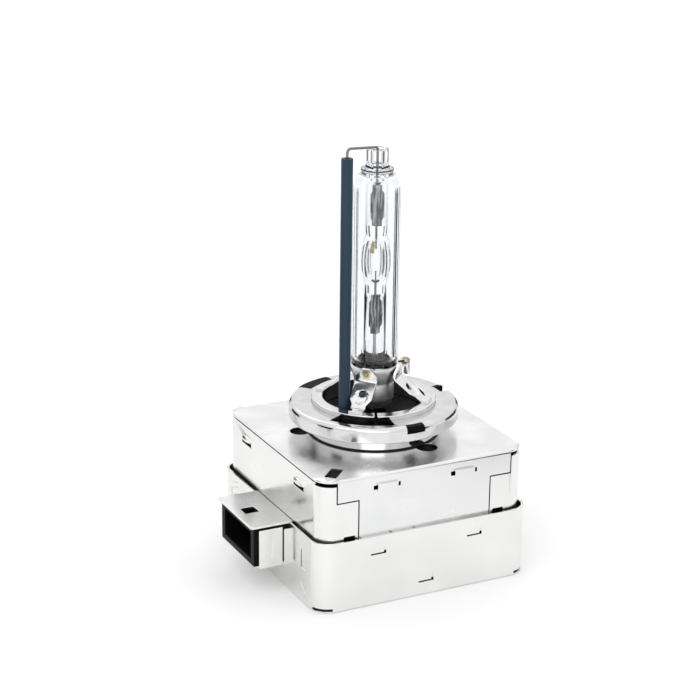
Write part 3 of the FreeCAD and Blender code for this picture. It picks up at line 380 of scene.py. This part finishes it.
def polished_steel(name, tone, low, high):
    """Stamped stainless: bright, with fine wear that varies its sheen between two roughnesses."""
    paint = Paint(name, Metallic=1.0, Roughness=0.1)
    wear = paint.noise(3, detail=6)
    paint.drive("Base Color", paint.between(wear, tone - 0.06, tone + 0.04))
    paint.drive("Roughness", paint.between(wear, low, high, start=0.35))
    paint.relief(paint.noise(5, detail=2), 0.008)
    paint.relief(paint.noise(0.25, detail=3), 0.0004)
    return paint.material


def black_plastic(name, tone, roughness, specular):
    """Moulded black plastic or rubber with a fine grain."""
    paint = Paint(name, Roughness=roughness)
    paint.shader.inputs["Specular IOR Level"].default_value = specular
    grain = paint.noise(0.35, detail=4)
    paint.drive("Base Color", paint.between(paint.noise(4), tone * 0.7, tone * 1.5))
    paint.drive("Roughness", paint.between(grain, roughness - 0.1, roughness + 0.1))
    paint.relief(grain, 0.004)
    return paint.material


def quartz(name, tint):
    """Clear fused quartz with faint draw lines along its length."""
    paint = Paint(name, Roughness=0.0, IOR=1.458)
    paint.shader.inputs["Transmission Weight"].default_value = 1.0
    paint.shader.inputs["Specular IOR Level"].default_value = 0.06
    paint.drive("Base Color", paint.between(paint.noise(6), tint, (0.995, 0.998, 1.0)))
    paint.relief(paint.noise(1.2, detail=2, stretch=(1, 1, 14)), 0.003)
    return paint.material


def simple(name, colour, roughness=0.5, metallic=0.0, grain_mm=0.5, relief_mm=0.003, vary=0.15,
           stretch=(1, 1, 1)):
    """A base colour that varies a little, with a fine grain."""
    paint = Paint(name, Metallic=metallic, Roughness=roughness)
    dark = tuple(c * (1 - vary) for c in colour)
    light = tuple(min(1, c * (1 + vary)) for c in colour)
    paint.drive("Base Color", paint.between(paint.noise(grain_mm * 8, detail=5), dark, light))
    grain = paint.noise(grain_mm, detail=4, stretch=stretch)
    paint.drive("Roughness", paint.between(grain, max(0.02, roughness - 0.08), roughness + 0.1))
    paint.relief(grain, relief_mm)
    return paint.material


def streaked_foil(name, tones):
    """Crinkled molybdenum foil: three greys in streaks along its length."""
    paint = Paint(name, Metallic=1.0, Roughness=0.4)
    streaks = paint.noise(0.36, detail=3, stretch=(1, 1, 14))
    paint.drive("Base Color", paint.ramp(streaks, list(zip((0.40, 0.51, 0.60), tones))))
    paint.drive("Roughness", paint.between(streaks, 0.32, 0.46, start=0.35))
    paint.relief(streaks, 0.012)
    paint.relief(paint.noise(0.9, detail=3), 0.02)
    return paint.material


def heat_tinted_steel(spot, reach):
    """Bright strip with a straw-brown weld mark round one point of the piece's own space."""
    paint = Paint("heat_tinted_steel", Metallic=1.0, Roughness=0.12)
    offset = paint.tree.nodes.new("ShaderNodeVectorMath")
    offset.operation = "DISTANCE"
    offset.inputs[1].default_value = [c * MM for c in spot]
    paint.tree.links.new(paint.place.outputs["Object"], offset.inputs[0])
    share = paint.tree.nodes.new("ShaderNodeMath")
    share.operation = "DIVIDE"
    share.inputs[1].default_value = reach * MM
    paint.tree.links.new(offset.outputs["Value"], share.inputs[0])
    wear = paint.between(paint.noise(2.5, detail=6), 0.74, 0.86)
    mark = paint.ramp(share.outputs[0], [
        (0.0, (0.55, 0.48, 0.32)),
        (0.3, (0.20, 0.16, 0.08)),
        (0.5, (0.62, 0.54, 0.34)),
        (0.8, (0.76, 0.76, 0.74)),
    ])
    edge = paint.between(share.outputs[0], 0.0, 1.0, start=0.55, end=0.95)
    paint.drive("Base Color", paint.blend(edge, mark, wear))
    paint.drive("Roughness", paint.between(paint.noise(2, detail=5), 0.07, 0.2, start=0.35))
    paint.relief(paint.noise(3, detail=2), 0.008)
    return paint.material


# ---------------------------------------------------------------- burner


def burner_glass():
    """The outer tube, with its drawn-in foot, round shoulder and pressed bead, and the arc tube in it.

    Both are fused at the foot and under the bead, so they are one solid with two sealed hollows.
    """
    low, high = span("outer_envelope")
    tube_low, tube_high = span("arc_tube")
    outer = (high.x - low.x) / 2
    bore = outer - QUARTZ_WALL
    foot, top = low.z, high.z
    stem, lead_hole = STEM_RADIUS, 0.45
    centre = light_centre()
    upper_end = span("upper_foil")[1].z
    lower_end = span("lower_foil")[0].z
    lower_stem = [
        (0, lower_end), (lead_hole, lower_end), (lead_hole, tube_low.z), (stem, tube_low.z, 0.15),
    ]
    wall = [(stem, foot, 0.5), (3.2, foot + 0.1, 0.8), (outer, foot + 1.9, 2.4), (outer, top - 2.4, 2.3)]
    bead = [
        (2.85, top - 1.0, 0.35), (3.15, top - 0.62, 0.2), (3.1, top - 0.2, 0.18), (2.5, top - 0.28, 0.5),
    ]
    upper_stem = [
        (stem, top + 0.5, 0.8), (stem, tube_high.z, 0.3), (1.05, tube_high.z, 0.25),
        (1.0, upper_end + 0.5, 0.3), (0.6, upper_end, 0.2), (0, upper_end),
    ]
    skin = rounded(lower_stem + wall + bead + upper_stem, closed=False)
    bm = lathe(bmesh.new(), skin, 160, closed=False)
    bmesh.ops.recalc_face_normals(bm, faces=bm.faces)

    bulge = (tube_high.x - tube_low.x) / 2
    bulge_half_length, waist = 7.0, 0.15
    room = rounded([
        (stem, foot + 1.5, 0.3), (2.9, foot + 1.2, 0.5), (bore, foot + 2.5, 1.6), (bore, top - 3.0, 1.8),
        (2.7, top - 1.9, 0.5), (stem, top - 1.9, 0.3),
    ])
    steps = 60
    inner_wall = []
    for k in range(steps + 1):
        t = math.cos(math.pi * k / steps)
        swell = bulge * math.sqrt(max(0.0, 1 - t * t))
        neck = stem - waist * (1 - abs(t)) ** 0.5
        inner_wall.append((max(neck, swell), centre + bulge_half_length * t))
    hollow(bm, room + inner_wall, True)

    cavity_radius, cavity_half_length, bluntness = 1.3, 4.2, 0.9
    cavity = []
    for k in range(steps + 1):
        t = math.cos(math.pi * (1 - k / steps))
        radius = cavity_radius * math.sqrt(max(0.0, 1 - t * t)) ** bluntness
        cavity.append((radius, centre + cavity_half_length * t))
    hollow(bm, cavity, False)
    bmesh.ops.scale(bm, vec=(MM, MM, MM), verts=bm.verts)
    mesh = bpy.data.meshes.new("burner_glass")
    bm.to_mesh(mesh)
    bm.free()
    finish_object("burner_glass", mesh, quartz("fused_quartz", (0.965, 0.985, 1.0)),
                  ["outer_envelope", "arc_tube"], sharp=60, weighted=False)


def hollow(bm, outline, closed):
    """Adds a sealed hollow: a turned shell that faces inwards."""
    shell = lathe(bmesh.new(), outline, 128, closed=closed)
    bmesh.ops.recalc_face_normals(shell, faces=shell.faces)
    bmesh.ops.reverse_faces(shell, faces=shell.faces)
    join(bm, shell)


def foil(node, tones):
    """A thin crinkled ribbon with narrower, feathered ends."""
    low, high = span(node)
    length = high.z - low.z
    bm = bmesh.new()
    rows, columns = 60, 16
    end_half, extra_half, end_length, flare = 0.7, 0.3, 1.1, 0.6
    core_thick, edge_thick = 0.03, 0.006
    front, back = [], []
    for i in range(rows + 1):
        s = i / rows
        end = min(s, 1 - s) * length
        half = end_half + extra_half * min(1, max(0, (end - end_length) / flare))
        line_front, line_back = [], []
        for j in range(columns + 1):
            t = j / columns * 2 - 1
            jag = 0.05 * noise.noise(Vector((s * 40, t * 3, low.z)))
            x = (half + jag * (1 if abs(t) > 0.9 else 0)) * t
            z = low.z + s * length
            broad = noise.noise(Vector((x * 1.6, z * 1.1, 3)))
            fine = noise.noise(Vector((x * 6, z, 9)))
            crinkle = 0.05 * broad + 0.015 * fine
            thick = core_thick * (1 - t * t) + edge_thick
            line_front.append(bm.verts.new((x, crinkle - thick, z)))
            line_back.append(bm.verts.new((x, crinkle + thick, z)))
        front.append(line_front)
        back.append(line_back)
    slab_between(bm, front, back)
    material = streaked_foil(f"{node}_metal", tones)
    return finish_mesh(f"{node}_ribbon", bm, material, [node], sharp=60, weighted=False)


def wires():
    """Electrodes with their fused tips, the foot lead, and the return wire with its two soft bends."""
    tungsten = simple("tungsten_rod", (0.16, 0.16, 0.17), 0.35, 1.0, 0.4, 0.003)
    for node, tip_up in (("upper_electrode", False), ("lower_electrode", True)):
        low, high = span(node)
        radius = radius_of(node)
        inner, outer_end = (high.z, low.z) if tip_up else (low.z, high.z)
        sign = 1 if tip_up else -1
        shares = [0.6, 1.1, 1.25, 1.1, 1.0, 1.0]
        offsets = [0.0, 0.06, 0.18, 0.32, 0.45, abs(inner - outer_end)]
        points = [Vector((0, 0, inner - sign * d)) for d in offsets]
        bm = tube(bmesh.new(), points, radius, 24, shares)
        finish_mesh(f"{node}_rod", bm, tungsten, [node], weighted=False)
    low, high = span("lower_lead")
    ends = [Vector((0, 0, low.z)), Vector((0, 0, high.z))]
    bm = tube(bmesh.new(), ends, radius_of("lower_lead"), 24)
    lead_metal = simple("lead_metal", (0.35, 0.35, 0.36), 0.3, 1.0)
    finish_mesh("lower_lead_wire", bm, lead_metal, ["lower_lead"])

    low, high = span("return_wire")
    sleeve_axis = centre_of("ceramic_sleeve")
    radius, inner_drop, outer_rise = 0.25, 0.85, 0.1
    level = high.z - radius
    corners = [
        Vector((0, 0, span("upper_foil")[1].z + 0.1)),
        Vector((0, 0, level - inner_drop)),
        Vector((sleeve_axis.x, sleeve_axis.y, level + outer_rise)),
        Vector((sleeve_axis.x, sleeve_axis.y, low.z)),
    ]
    bend_steps = 12
    points = [corners[0]]
    for before, here, after, bend in zip(corners, corners[1:], corners[2:], (0.6, 1.1)):
        back, ahead = (before - here).normalized(), (after - here).normalized()
        for k in range(bend_steps + 1):
            t = k / bend_steps
            points.append(here + back * bend * (1 - t) ** 2 + ahead * bend * t ** 2)
    points.append(corners[-1])
    bm = tube(bmesh.new(), points, radius, 24)
    nickel = simple("nickel_wire", (0.22, 0.215, 0.20), 0.25, 1.0, 0.4, 0.002)
    finish_mesh("return_wire_bent", bm, nickel, ["return_wire"], sharp=60, weighted=False)


def salts():
    """The yellow salt film on the chamber's inner wall, thick at one side."""
    centre = light_centre()
    bm = bmesh.new()
    rows, columns = 20, 18
    start_height, height = 1.5, 2.1
    wall_radius, wall_half_length = 1.27, 4.25
    start_angle, sweep, wander = 150, 80, 14
    inner, outer = [], []
    for i in range(rows + 1):
        z = start_height + height * i / rows
        line_in, line_out = [], []
        radius = wall_radius * math.sqrt(max(0.0, 1 - (z / wall_half_length) ** 2))
        for j in range(columns + 1):
            shift = wander * noise.noise(Vector((i * 0.4, 0, 1)))
            angle = math.radians(start_angle + sweep * j / columns + shift)
            edge = min(i, rows - i, j, columns - j) / 4
            lumps = 0.7 + 0.5 * noise.noise(Vector((i * 0.5, j * 0.5, 4)))
            depth = 0.02 + 0.08 * min(1, edge) * lumps
            for line, r in ((line_out, radius - 0.01), (line_in, radius - depth)):
                r = max(0.05, r)
                line.append(bm.verts.new((r * math.cos(angle), r * math.sin(angle), centre + z)))
        inner.append(line_in)
        outer.append(line_out)
    slab_between(bm, inner, outer)
    material = simple("halide_salts_yellow", (0.72, 0.62, 0.16), 0.5, 0, 0.3, 0.02, 0.35)
    finish_mesh("halide_salt_film", bm, material, ["halide_salts"], sharp=60,
                weighted=False)


def sleeve():
    """The dark ceramic tube of the return lead, very slightly uneven, with a ground top edge."""
    low, high = span("ceramic_sleeve")
    middle = centre_of("ceramic_sleeve")
    radius = radius_of("ceramic_sleeve")
    bore, longest_step = 0.42, 1.5

    def uneven(r, z, angle):
        return r + 0.02 * noise.noise(Vector((math.cos(angle), math.sin(angle), z * 0.15))), z

    corners = rounded([
        (bore, low.z), (radius, low.z, 0.15), (radius, high.z, 0.14), (bore, high.z, 0.12),
    ])
    outline = []
    for start, end in zip(corners, corners[1:] + corners[:1]):
        steps = max(1, round((end - start).length / longest_step))
        outline += [start.lerp(end, k / steps) for k in range(steps)]
    bm = lathe(bmesh.new(), outline, 64, wobble=uneven)
    bmesh.ops.translate(bm, vec=(middle.x, middle.y, 0), verts=bm.verts)
    paint = Paint("slate_blue_ceramic", Roughness=0.4)
    paint.shader.inputs["Specular IOR Level"].default_value = 0.3
    tone = paint.noise(5, detail=5, stretch=(1, 1, 3))
    paint.drive("Base Color", paint.between(tone, (0.008, 0.026, 0.045), (0.014, 0.042, 0.068)))
    paint.drive("Roughness", paint.between(paint.noise(0.8, detail=4), 0.34, 0.5))
    paint.relief(paint.noise(0.25, detail=4), 0.006)
    finish_mesh("return_lead_sleeve", bm, paint.material, ["ceramic_sleeve"], sharp=50,
                weighted=False)


# ---------------------------------------------------------------- burner holder


LEG_HALF_SHEET = 0.25
LEG_HALF_WIDTH = 2.15
LEG_TIP_HALF_WIDTH = 0.7
LEG_FOOT_HALF_WIDTH = 1.4
LEG_GABLE_LENGTH = 1.7
LEG_TAPER_REACH = 8.0
LEG_HOLE_REACH = 7.0
LEG_HOLE_RADIUS = 0.75
LEG_WELD = (5.3, 0, 6.7)


def leg_path(node):
    """Middle line of a leg's sheet from its tip to its foot, in its own X-Z plane."""
    tip = span(node)[1].z
    foot = span("holder_band")[1].z + LEG_HALF_SHEET
    bend = 0.85
    return rounded([(5.15, tip), (4.6, 5.35, bend), (9.8, foot, bend), (11.3, foot)], closed=False)


def support_leg(node, degrees):
    """A bent strip with a gabled tip, a narrow foot, and a pressed recess round its hole."""
    path = leg_path(node)
    stations = [0.0]
    for start, end in zip(path, path[1:]):
        stations.append(stations[-1] + (end - start).length)
    total = stations[-1]

    def at(u):
        """Point and outward normal of the middle line at a distance from the tip."""
        u = min(max(u, 0.0), total - 1e-6)
        k = max(i for i, station in enumerate(stations) if station <= u)
        start, end = path[k], path[k + 1]
        along = (end - start).normalized()
        return start + along * (u - stations[k]), Vector((-along.y, along.x))

    def half_width(u):
        """Half the strip's width at a distance from the tip."""
        if u < LEG_GABLE_LENGTH:
            share = u / LEG_GABLE_LENGTH
            return LEG_TIP_HALF_WIDTH + (LEG_HALF_WIDTH - LEG_TIP_HALF_WIDTH) * share
        share = min(max(at(u)[0].x - LEG_TAPER_REACH, 0.0), 1.0)
        return LEG_HALF_WIDTH + (LEG_FOOT_HALF_WIDTH - LEG_HALF_WIDTH) * share

    search_step = 0.02
    step = math.ceil(LEG_GABLE_LENGTH / search_step)
    while at(step * search_step)[0].x <= LEG_HOLE_REACH:
        step += 1
    hole_u = step * search_step
    reach, columns, rings = 1.3, 36, 8
    row_step = 0.12
    recess_start, recess_end, recess_radius = 0.45, 1.2, 1.25
    recess_depth, recess_slope = 0.26, 0.25
    dimple_u, dimple_radius, dimple_depth = 1.6, 0.22, 0.16

    def recess(u, v):
        """Offset of the pressed recess: a stadium towards the foot, with a small dimple."""
        along = min(max(u - hole_u, recess_start), recess_end)
        away = math.hypot(u - hole_u - along, v)
        depth = recess_depth * min(max((recess_radius - away) / recess_slope, 0.0), 1.0)
        off_dimple = math.hypot(u - hole_u - dimple_u, v)
        return -depth - dimple_depth * min(max(2 - 2 * off_dimple / dimple_radius, 0.0), 1.0)

    flat = bmesh.new()
    shares = [k / columns * 2 - 1 for k in range(columns + 1)]
    rows = {}

    def row(u):
        """Vertices across the strip at a distance from the tip, made once."""
        key = round(u, 4)
        if key not in rows:
            rows[key] = [flat.verts.new((u, v * half_width(u), 0)) for v in shares]
        return rows[key]

    def strip(first, last):
        """Plain rows of faces between two distances from the tip."""
        steps = max(1, round((last - first) / row_step))
        for k in range(steps):
            near = row(first + (last - first) * k / steps)
            far = row(first + (last - first) * (k + 1) / steps)
            for j in range(columns):
                flat.faces.new((near[j], near[j + 1], far[j + 1], far[j]))

    strip(0.0, hole_u - reach)
    strip(hole_u + reach, total)
    near, far = row(hole_u - reach), row(hole_u + reach)
    sides = []
    for sign in (1, -1):
        line = [hole_u + reach * t for t in shares[1:-1]]
        sides.append([flat.verts.new((u, sign * half_width(u), 0)) for u in line])
    rim = near + sides[0] + far[::-1] + sides[1][::-1]
    circle = []
    for vert in rim:
        away = Vector((vert.co.x - hole_u, vert.co.y, 0)).normalized()
        circle.append(Vector((hole_u, 0, 0)) + away * LEG_HOLE_RADIUS)
    loops = []
    for k in range(rings):
        loops.append([flat.verts.new(c.lerp(v.co, k / rings)) for c, v in zip(circle, rim)])
    loops.append(rim)
    for inner, outer in zip(loops, loops[1:]):
        for j in range(len(rim)):
            n = (j + 1) % len(rim)
            flat.faces.new((inner[j], inner[n], outer[n], outer[j]))

    bm = bmesh.new()
    layers = []
    for offset in (LEG_HALF_SHEET, -LEG_HALF_SHEET):
        layer = {}
        for vert in flat.verts:
            point, normal = at(vert.co.x)
            place = point + normal * (offset + recess(vert.co.x, vert.co.y))
            layer[vert] = bm.verts.new((place.x, vert.co.y, place.y))
        layers.append(layer)
    top, low = layers
    for face in flat.faces:
        bm.faces.new([top[v] for v in face.verts])
        bm.faces.new([low[v] for v in reversed(face.verts)])
    for edge in flat.edges:
        if len(edge.link_faces) == 1:
            a, b = edge.verts
            bm.faces.new((top[a], top[b], low[b], low[a]))
    flat.free()
    bmesh.ops.recalc_face_normals(bm, faces=bm.faces)
    soften(bm, [edge for edge in bm.edges if turns_by(edge, 50)], 0.06)
    turn = Matrix.Rotation(math.radians(degrees), 4, "Z")
    material = heat_tinted_steel(LEG_WELD, 1.5)
    finish_mesh(f"{node}_strip", bm, material, [node], sharp=40, place=turn)


def clamp_ear():
    """The two folded strap ends, pinched together by a crimp, with a heat-tinted weld on top."""
    low, high = span("collar_clamp_ear")
    crimp_x, weld_x = high.x - 0.75, high.x - 1.1
    half_gap, half_pair = 0.1, 0.55
    bm = bmesh.new()
    for side in (-1, 1):
        near, far = sorted((side * half_gap, side * half_pair))
        block(bm, (low.x, near, high.z - 1.7), (high.x - 0.3, far, high.z - 0.1), 0.15)
    crimp_foot, crimp_top, crimp_radius = low.z + 0.1, high.z - 1.0, 0.62
    crimp = rounded([
        (0, crimp_foot), (crimp_radius, crimp_foot, 0.25), (crimp_radius, crimp_top, 0.2), (0, crimp_top),
    ], closed=False)
    join(bm, lathe(bmesh.new(), crimp, 28, closed=False), (crimp_x, 0, 0))
    weld = rounded([
        (0, high.z - 0.9), (0.8, high.z - 0.8, 0.3), (0.7, high.z, 0.3), (0, high.z),
    ], closed=False)
    join(bm, lathe(bmesh.new(), weld, 28, closed=False), (weld_x, 0, 0))
    material = heat_tinted_steel((weld_x, 0, high.z), 1.6)
    finish_mesh("clamp_ear_strap", bm, material, ["collar_clamp_ear"], sharp=40)


def seat_plug():
    """Dark cement drawn up inside the glass foot, with thin streaks run up from its edge."""
    glass_foot = span("outer_envelope")[0].z
    foot, top, streak_foot = glass_foot + 1.6, glass_foot + 2.4, glass_foot + 2.2
    inner, streak_reach = 2.2, 2.9

    def ragged(r, z, angle):
        lift = 0.35 * noise.noise(Vector((2 * math.cos(angle), 2 * math.sin(angle), 5)))
        return r, z + (lift if z > streak_foot else 0)

    outline = [(inner, foot), (2.9, foot), (3.25, glass_foot + 2.1), (3.2, top), (inner, top)]
    bm = lathe(bmesh.new(), outline, 96, wobble=ragged)
    streaks = {4: 0.9, 24: 1.9, 44: 1.2, 56: 2.2, 74: 2.0, 90: 1.0, 106: 1.8, 124: 1.1}
    for degrees, height in streaks.items():
        angle = math.radians(degrees)
        side = Vector((math.cos(angle), math.sin(angle), 0)) * streak_reach
        points = [
            side + Vector((0, 0, streak_foot)),
            side + Vector((0, 0, streak_foot + height * 0.6)),
            side * 0.98 + Vector((0, 0, streak_foot + 0.2 + height)),
        ]
        tube(bm, points, 0.11, 10, [1.4, 0.8, 0.4])
    finish_mesh("seat_plug", bm, cement, sharp=50, weighted=False)


def tray_creases():
    """Small raised creases pressed into the tray's connector side."""
    low = span("lower_tray")[0]
    wall_x = -22.47
    taper = [0.2, 0.7, 1, 1, 1, 1, 1, 0.7, 0.2]
    creases = [
        ((-14.6, 4.1), (-18.6, 0.9)),
        ((14.2, 12.9), (17.4, 11.7)),
        ((14.0, 11.9), (17.0, 10.8)),
        ((15.0, 10.0), (17.8, 8.9)),
    ]
    bm = bmesh.new()
    for (first_y, first_rise), (last_y, last_rise) in creases:
        start = Vector((wall_x, first_y, low.z + first_rise))
        end = Vector((wall_x, last_y, low.z + last_rise))
        steps = len(taper) - 1
        points = [start.lerp(end, k / steps) for k in range(steps + 1)]
        tube(bm, points, 0.13, 12, taper)
    finish_mesh("tray_creases", bm, steel, sharp=60, weighted=False)


# ---------------------------------------------------------------- camera, light and floor


def pale_floor():
    """A wide, nearly white floor at the lamp's foot."""
    bm = bmesh.new()
    bmesh.ops.create_circle(bm, cap_ends=True, radius=4.0, segments=96)
    mesh = bpy.data.meshes.new("floor")
    bm.to_mesh(mesh)
    bm.free()
    floor = bpy.data.objects.new("floor", mesh)
    floor.location.z = cad_box[0].z
    bpy.context.scene.collection.objects.link(floor)
    paint = Paint("pale_floor", Roughness=0.6)
    paint.shader.inputs["Specular IOR Level"].default_value = 0.2
    paint.drive("Base Color", paint.between(paint.noise(60), 0.925, 0.945))
    mesh.materials.append(paint.material)


def bright_surroundings():
    """An even white studio, a little brighter overhead."""
    world = bpy.data.worlds.new("studio")
    bpy.context.scene.world = world
    world.use_nodes = True
    tree = world.node_tree
    place = tree.nodes.new("ShaderNodeTexCoord")
    parts = tree.nodes.new("ShaderNodeSeparateXYZ")
    ramp = tree.nodes.new("ShaderNodeValToRGB")
    tree.links.new(place.outputs["Generated"], parts.inputs[0])
    tree.links.new(parts.outputs["Z"], ramp.inputs[0])
    tree.links.new(ramp.outputs[0], tree.nodes["Background"].inputs["Color"])
    stops = [(0.0, 0.90), (0.25, 0.94), (0.5, 1.0), (0.8, 1.08)]
    while len(ramp.color_ramp.elements) < len(stops):
        ramp.color_ramp.elements.new(0.5)
    for element, (position, value) in zip(ramp.color_ramp.elements, stops):
        element.position = position
        element.color = (value, value, value * 1.01, 1)
    tree.nodes["Background"].inputs["Strength"].default_value = 1.02


def facing(place, aim):
    """The turn that points an object's -Z from one place to another."""
    return (Vector(aim) - Vector(place)).to_track_quat("-Z", "Y").to_euler()


def softbox(name, place, aim, size, watts):
    """A rectangular area light."""
    data = bpy.data.lights.new(name, "AREA")
    data.shape = "RECTANGLE"
    data.size, data.size_y = size
    data.energy = watts
    lamp = bpy.data.objects.new(name, data)
    lamp.location = place
    lamp.rotation_euler = facing(place, aim)
    bpy.context.scene.collection.objects.link(lamp)


def black_card(name, place, aim, size):
    """A low dark card seen only in glass and metal, where it draws a thin dark line."""
    bm = bmesh.new()
    bmesh.ops.create_grid(bm, x_segments=1, y_segments=1, size=0.5)
    mesh = bpy.data.meshes.new(name)
    bm.to_mesh(mesh)
    bm.free()
    card = bpy.data.objects.new(name, mesh)
    card.scale = (*size, 1)
    card.location = place
    card.rotation_euler = facing(place, aim)
    card.visible_camera = False
    card.visible_diffuse = False
    card.visible_shadow = False
    mesh.materials.append(simple("black_card", (0.01, 0.01, 0.01), 0.9))
    bpy.context.scene.collection.objects.link(card)


def set_stage():
    """Floor, white surroundings, three soft lights and a ring of low black cards."""
    pale_floor()
    bright_surroundings()
    softbox("key_softbox", (-0.5, -0.25, 0.75), (0, 0, 0), (0.6, 0.6), 0.6)
    softbox("back_softbox", (0.1, 0.7, 0.6), (0, 0, 0), (0.8, 0.4), 0.5)
    softbox("front_fill", (-0.30, -0.60, 0.35), (0, -0.05, -0.03), (0.5, 0.2), 0.65)

    view_direction, reach, height = 63.2, 0.105, 0.052
    middle = cad_box[0].z + height / 2
    cards = [
        ("back_left_flag", 28, 0.012),
        ("back_right_flag", -28, 0.018),
        ("left_flag", 60, 0.042),
        ("right_flag", -60, 0.063),
        ("near_left_flag", 118, 0.042),
        ("near_right_flag", -118, 0.042),
    ]
    for name, side, width in cards:
        angle = math.radians(view_direction + side)
        place = (reach * math.cos(angle), reach * math.sin(angle), middle)
        black_card(name, place, (0, 0, middle), (width, height))


def set_camera():
    """A long lens at the angle from which the lamp is shown."""
    azimuth, elevation, roll = math.radians(-26.76), math.radians(18.52), math.radians(0.72)
    distance = 360.1 * MM
    target = Vector((-4.17, 2.10, 9.99)) * MM
    back = Vector((
        math.sin(azimuth) * math.cos(elevation),
        -math.cos(azimuth) * math.cos(elevation),
        math.sin(elevation),
    ))
    data = bpy.data.cameras.new("camera")
    data.lens = 96.5
    data.sensor_width = 36
    data.clip_start = 0.01
    data.clip_end = 50
    camera = bpy.data.objects.new("camera", data)
    camera.rotation_mode = "QUATERNION"
    camera.location = target + back * distance
    upright = (-back).to_track_quat("-Z", "Y")
    camera.rotation_quaternion = upright @ Matrix.Rotation(roll, 3, "Z").to_quaternion()
    bpy.context.scene.collection.objects.link(camera)
    bpy.context.scene.camera = camera
    bpy.context.scene.view_settings.view_transform = "Standard"


# ---------------------------------------------------------------- everything

steel = sheet_metal()
top_steel_painted_shade = shaded_top_sheet_metal()
ring_steel = polished_steel("ring_steel_satin", 0.70, 0.09, 0.20)
holder_steel = polished_steel("holder_steel_bright", 0.76, 0.06, 0.18)
collar_steel = polished_steel("collar_steel_satin", 0.80, 0.28, 0.42)
black = black_plastic("black_plastic", 0.003, 0.45, 0.08)
deep_black = black_plastic("black_moulding", 0.002, 0.55, 0.08)
rubber = black_plastic("black_silicone", 0.008, 0.6, 0.3)
cement = black_plastic("dark_cement", 0.003, 0.7, 0.04)
copper = simple("enamelled_copper", (0.75, 0.32, 0.12), 0.25, 1.0, 0.25, 0.03, 0.2, (30, 1, 30))
pin_tin = simple("pin_tin", (0.7, 0.66, 0.55), 0.25, 1.0)
green_laminate = simple("green_laminate", (0.03, 0.13, 0.06), 0.3)
potting = simple("potting_compound", (0.03, 0.03, 0.032), 0.35, 0, 2, 0.03)
ferrite = simple("ferrite_grey", (0.05, 0.05, 0.055), 0.5)
natural_plastic = simple("natural_plastic", (0.62, 0.58, 0.48), 0.4)
capacitor_orange = simple("capacitor_orange", (0.40, 0.12, 0.02), 0.25)
white_ceramic = simple("white_ceramic", (0.75, 0.73, 0.68), 0.3)
resistor_ceramic = simple("resistor_ceramic", (0.5, 0.62, 0.62), 0.35)

refined("lower_tray", "tray_sheet", steel, 0.05, foot_rounding=0.36)
refined("upper_cover", "cover_sheet", top_steel_painted_shade, 0.07)
refined("side_wall_left", "left_wall_sheet", steel, 0.06)
refined("side_wall_right", "right_wall_sheet", steel, 0.06)
refined("connector_top_shield", "connector_plate_sheet", top_steel_painted_shade, 0.08)
refined("connector_side_shield", "connector_shroud_sheet", steel, 0.06)
refined("connector_housing", "connector_body", black, 0.1)
refined("connector_pins", "connector_pin_set", pin_tin, 0.06)
refined("cap_ring", "cap_ring_stamping", ring_steel, 0)
refined("holder_band", "holder_band_strip", holder_steel, 0.1)
refined("base_insulator", "base_moulding", deep_black, 0.1)
refined("neck_gasket", "neck_seal", rubber, 0)
refined("burner_collar", "collar_cup", collar_steel, 0.06)
refined("burner_seat", "seat_cement", cement, 0.08)
refined("carrier_frame", "carrier_moulding", deep_black, 0.15)
refined("circuit_board", "board_panel", green_laminate, 0.1)
refined("potting_layer", "potting_cast", potting, 0.2)
refined("transformer_core", "core_rod", ferrite, 0.3)
refined("transformer_bobbin", "bobbin_moulding", natural_plastic, 0.1)
refined("secondary_winding", "secondary_coils", copper, 0.15)
refined("primary_winding", "primary_straps", copper, 0.1)
refined("ignition_capacitor", "capacitor_case", capacitor_orange, 0.5, 3)
refined("spark_gap", "spark_gap_tube", white_ceramic, 0.2)
refined("bleed_resistor", "resistor_body", resistor_ceramic, 0.2)
refined("high_voltage_contact", "high_voltage_strap", copper, 0.06)
refined("return_terminal", "return_terminal_strap", copper, 0.06)
for leg_name, leg_degrees in (("front", -135), ("right", -45), ("rear", 45), ("left", 135)):
    support_leg(f"support_leg_{leg_name}", leg_degrees)
clamp_ear()
seat_plug()
tray_creases()

burner_glass()
foil("upper_foil", (0.06, 0.28, 0.55))
# The lower foil gets much darker greys than the upper one: painted shade on the same foil metal.
foil("lower_foil", (0.004, 0.03, 0.55))
wires()
salts()
sleeve()

set_stage()
set_camera()
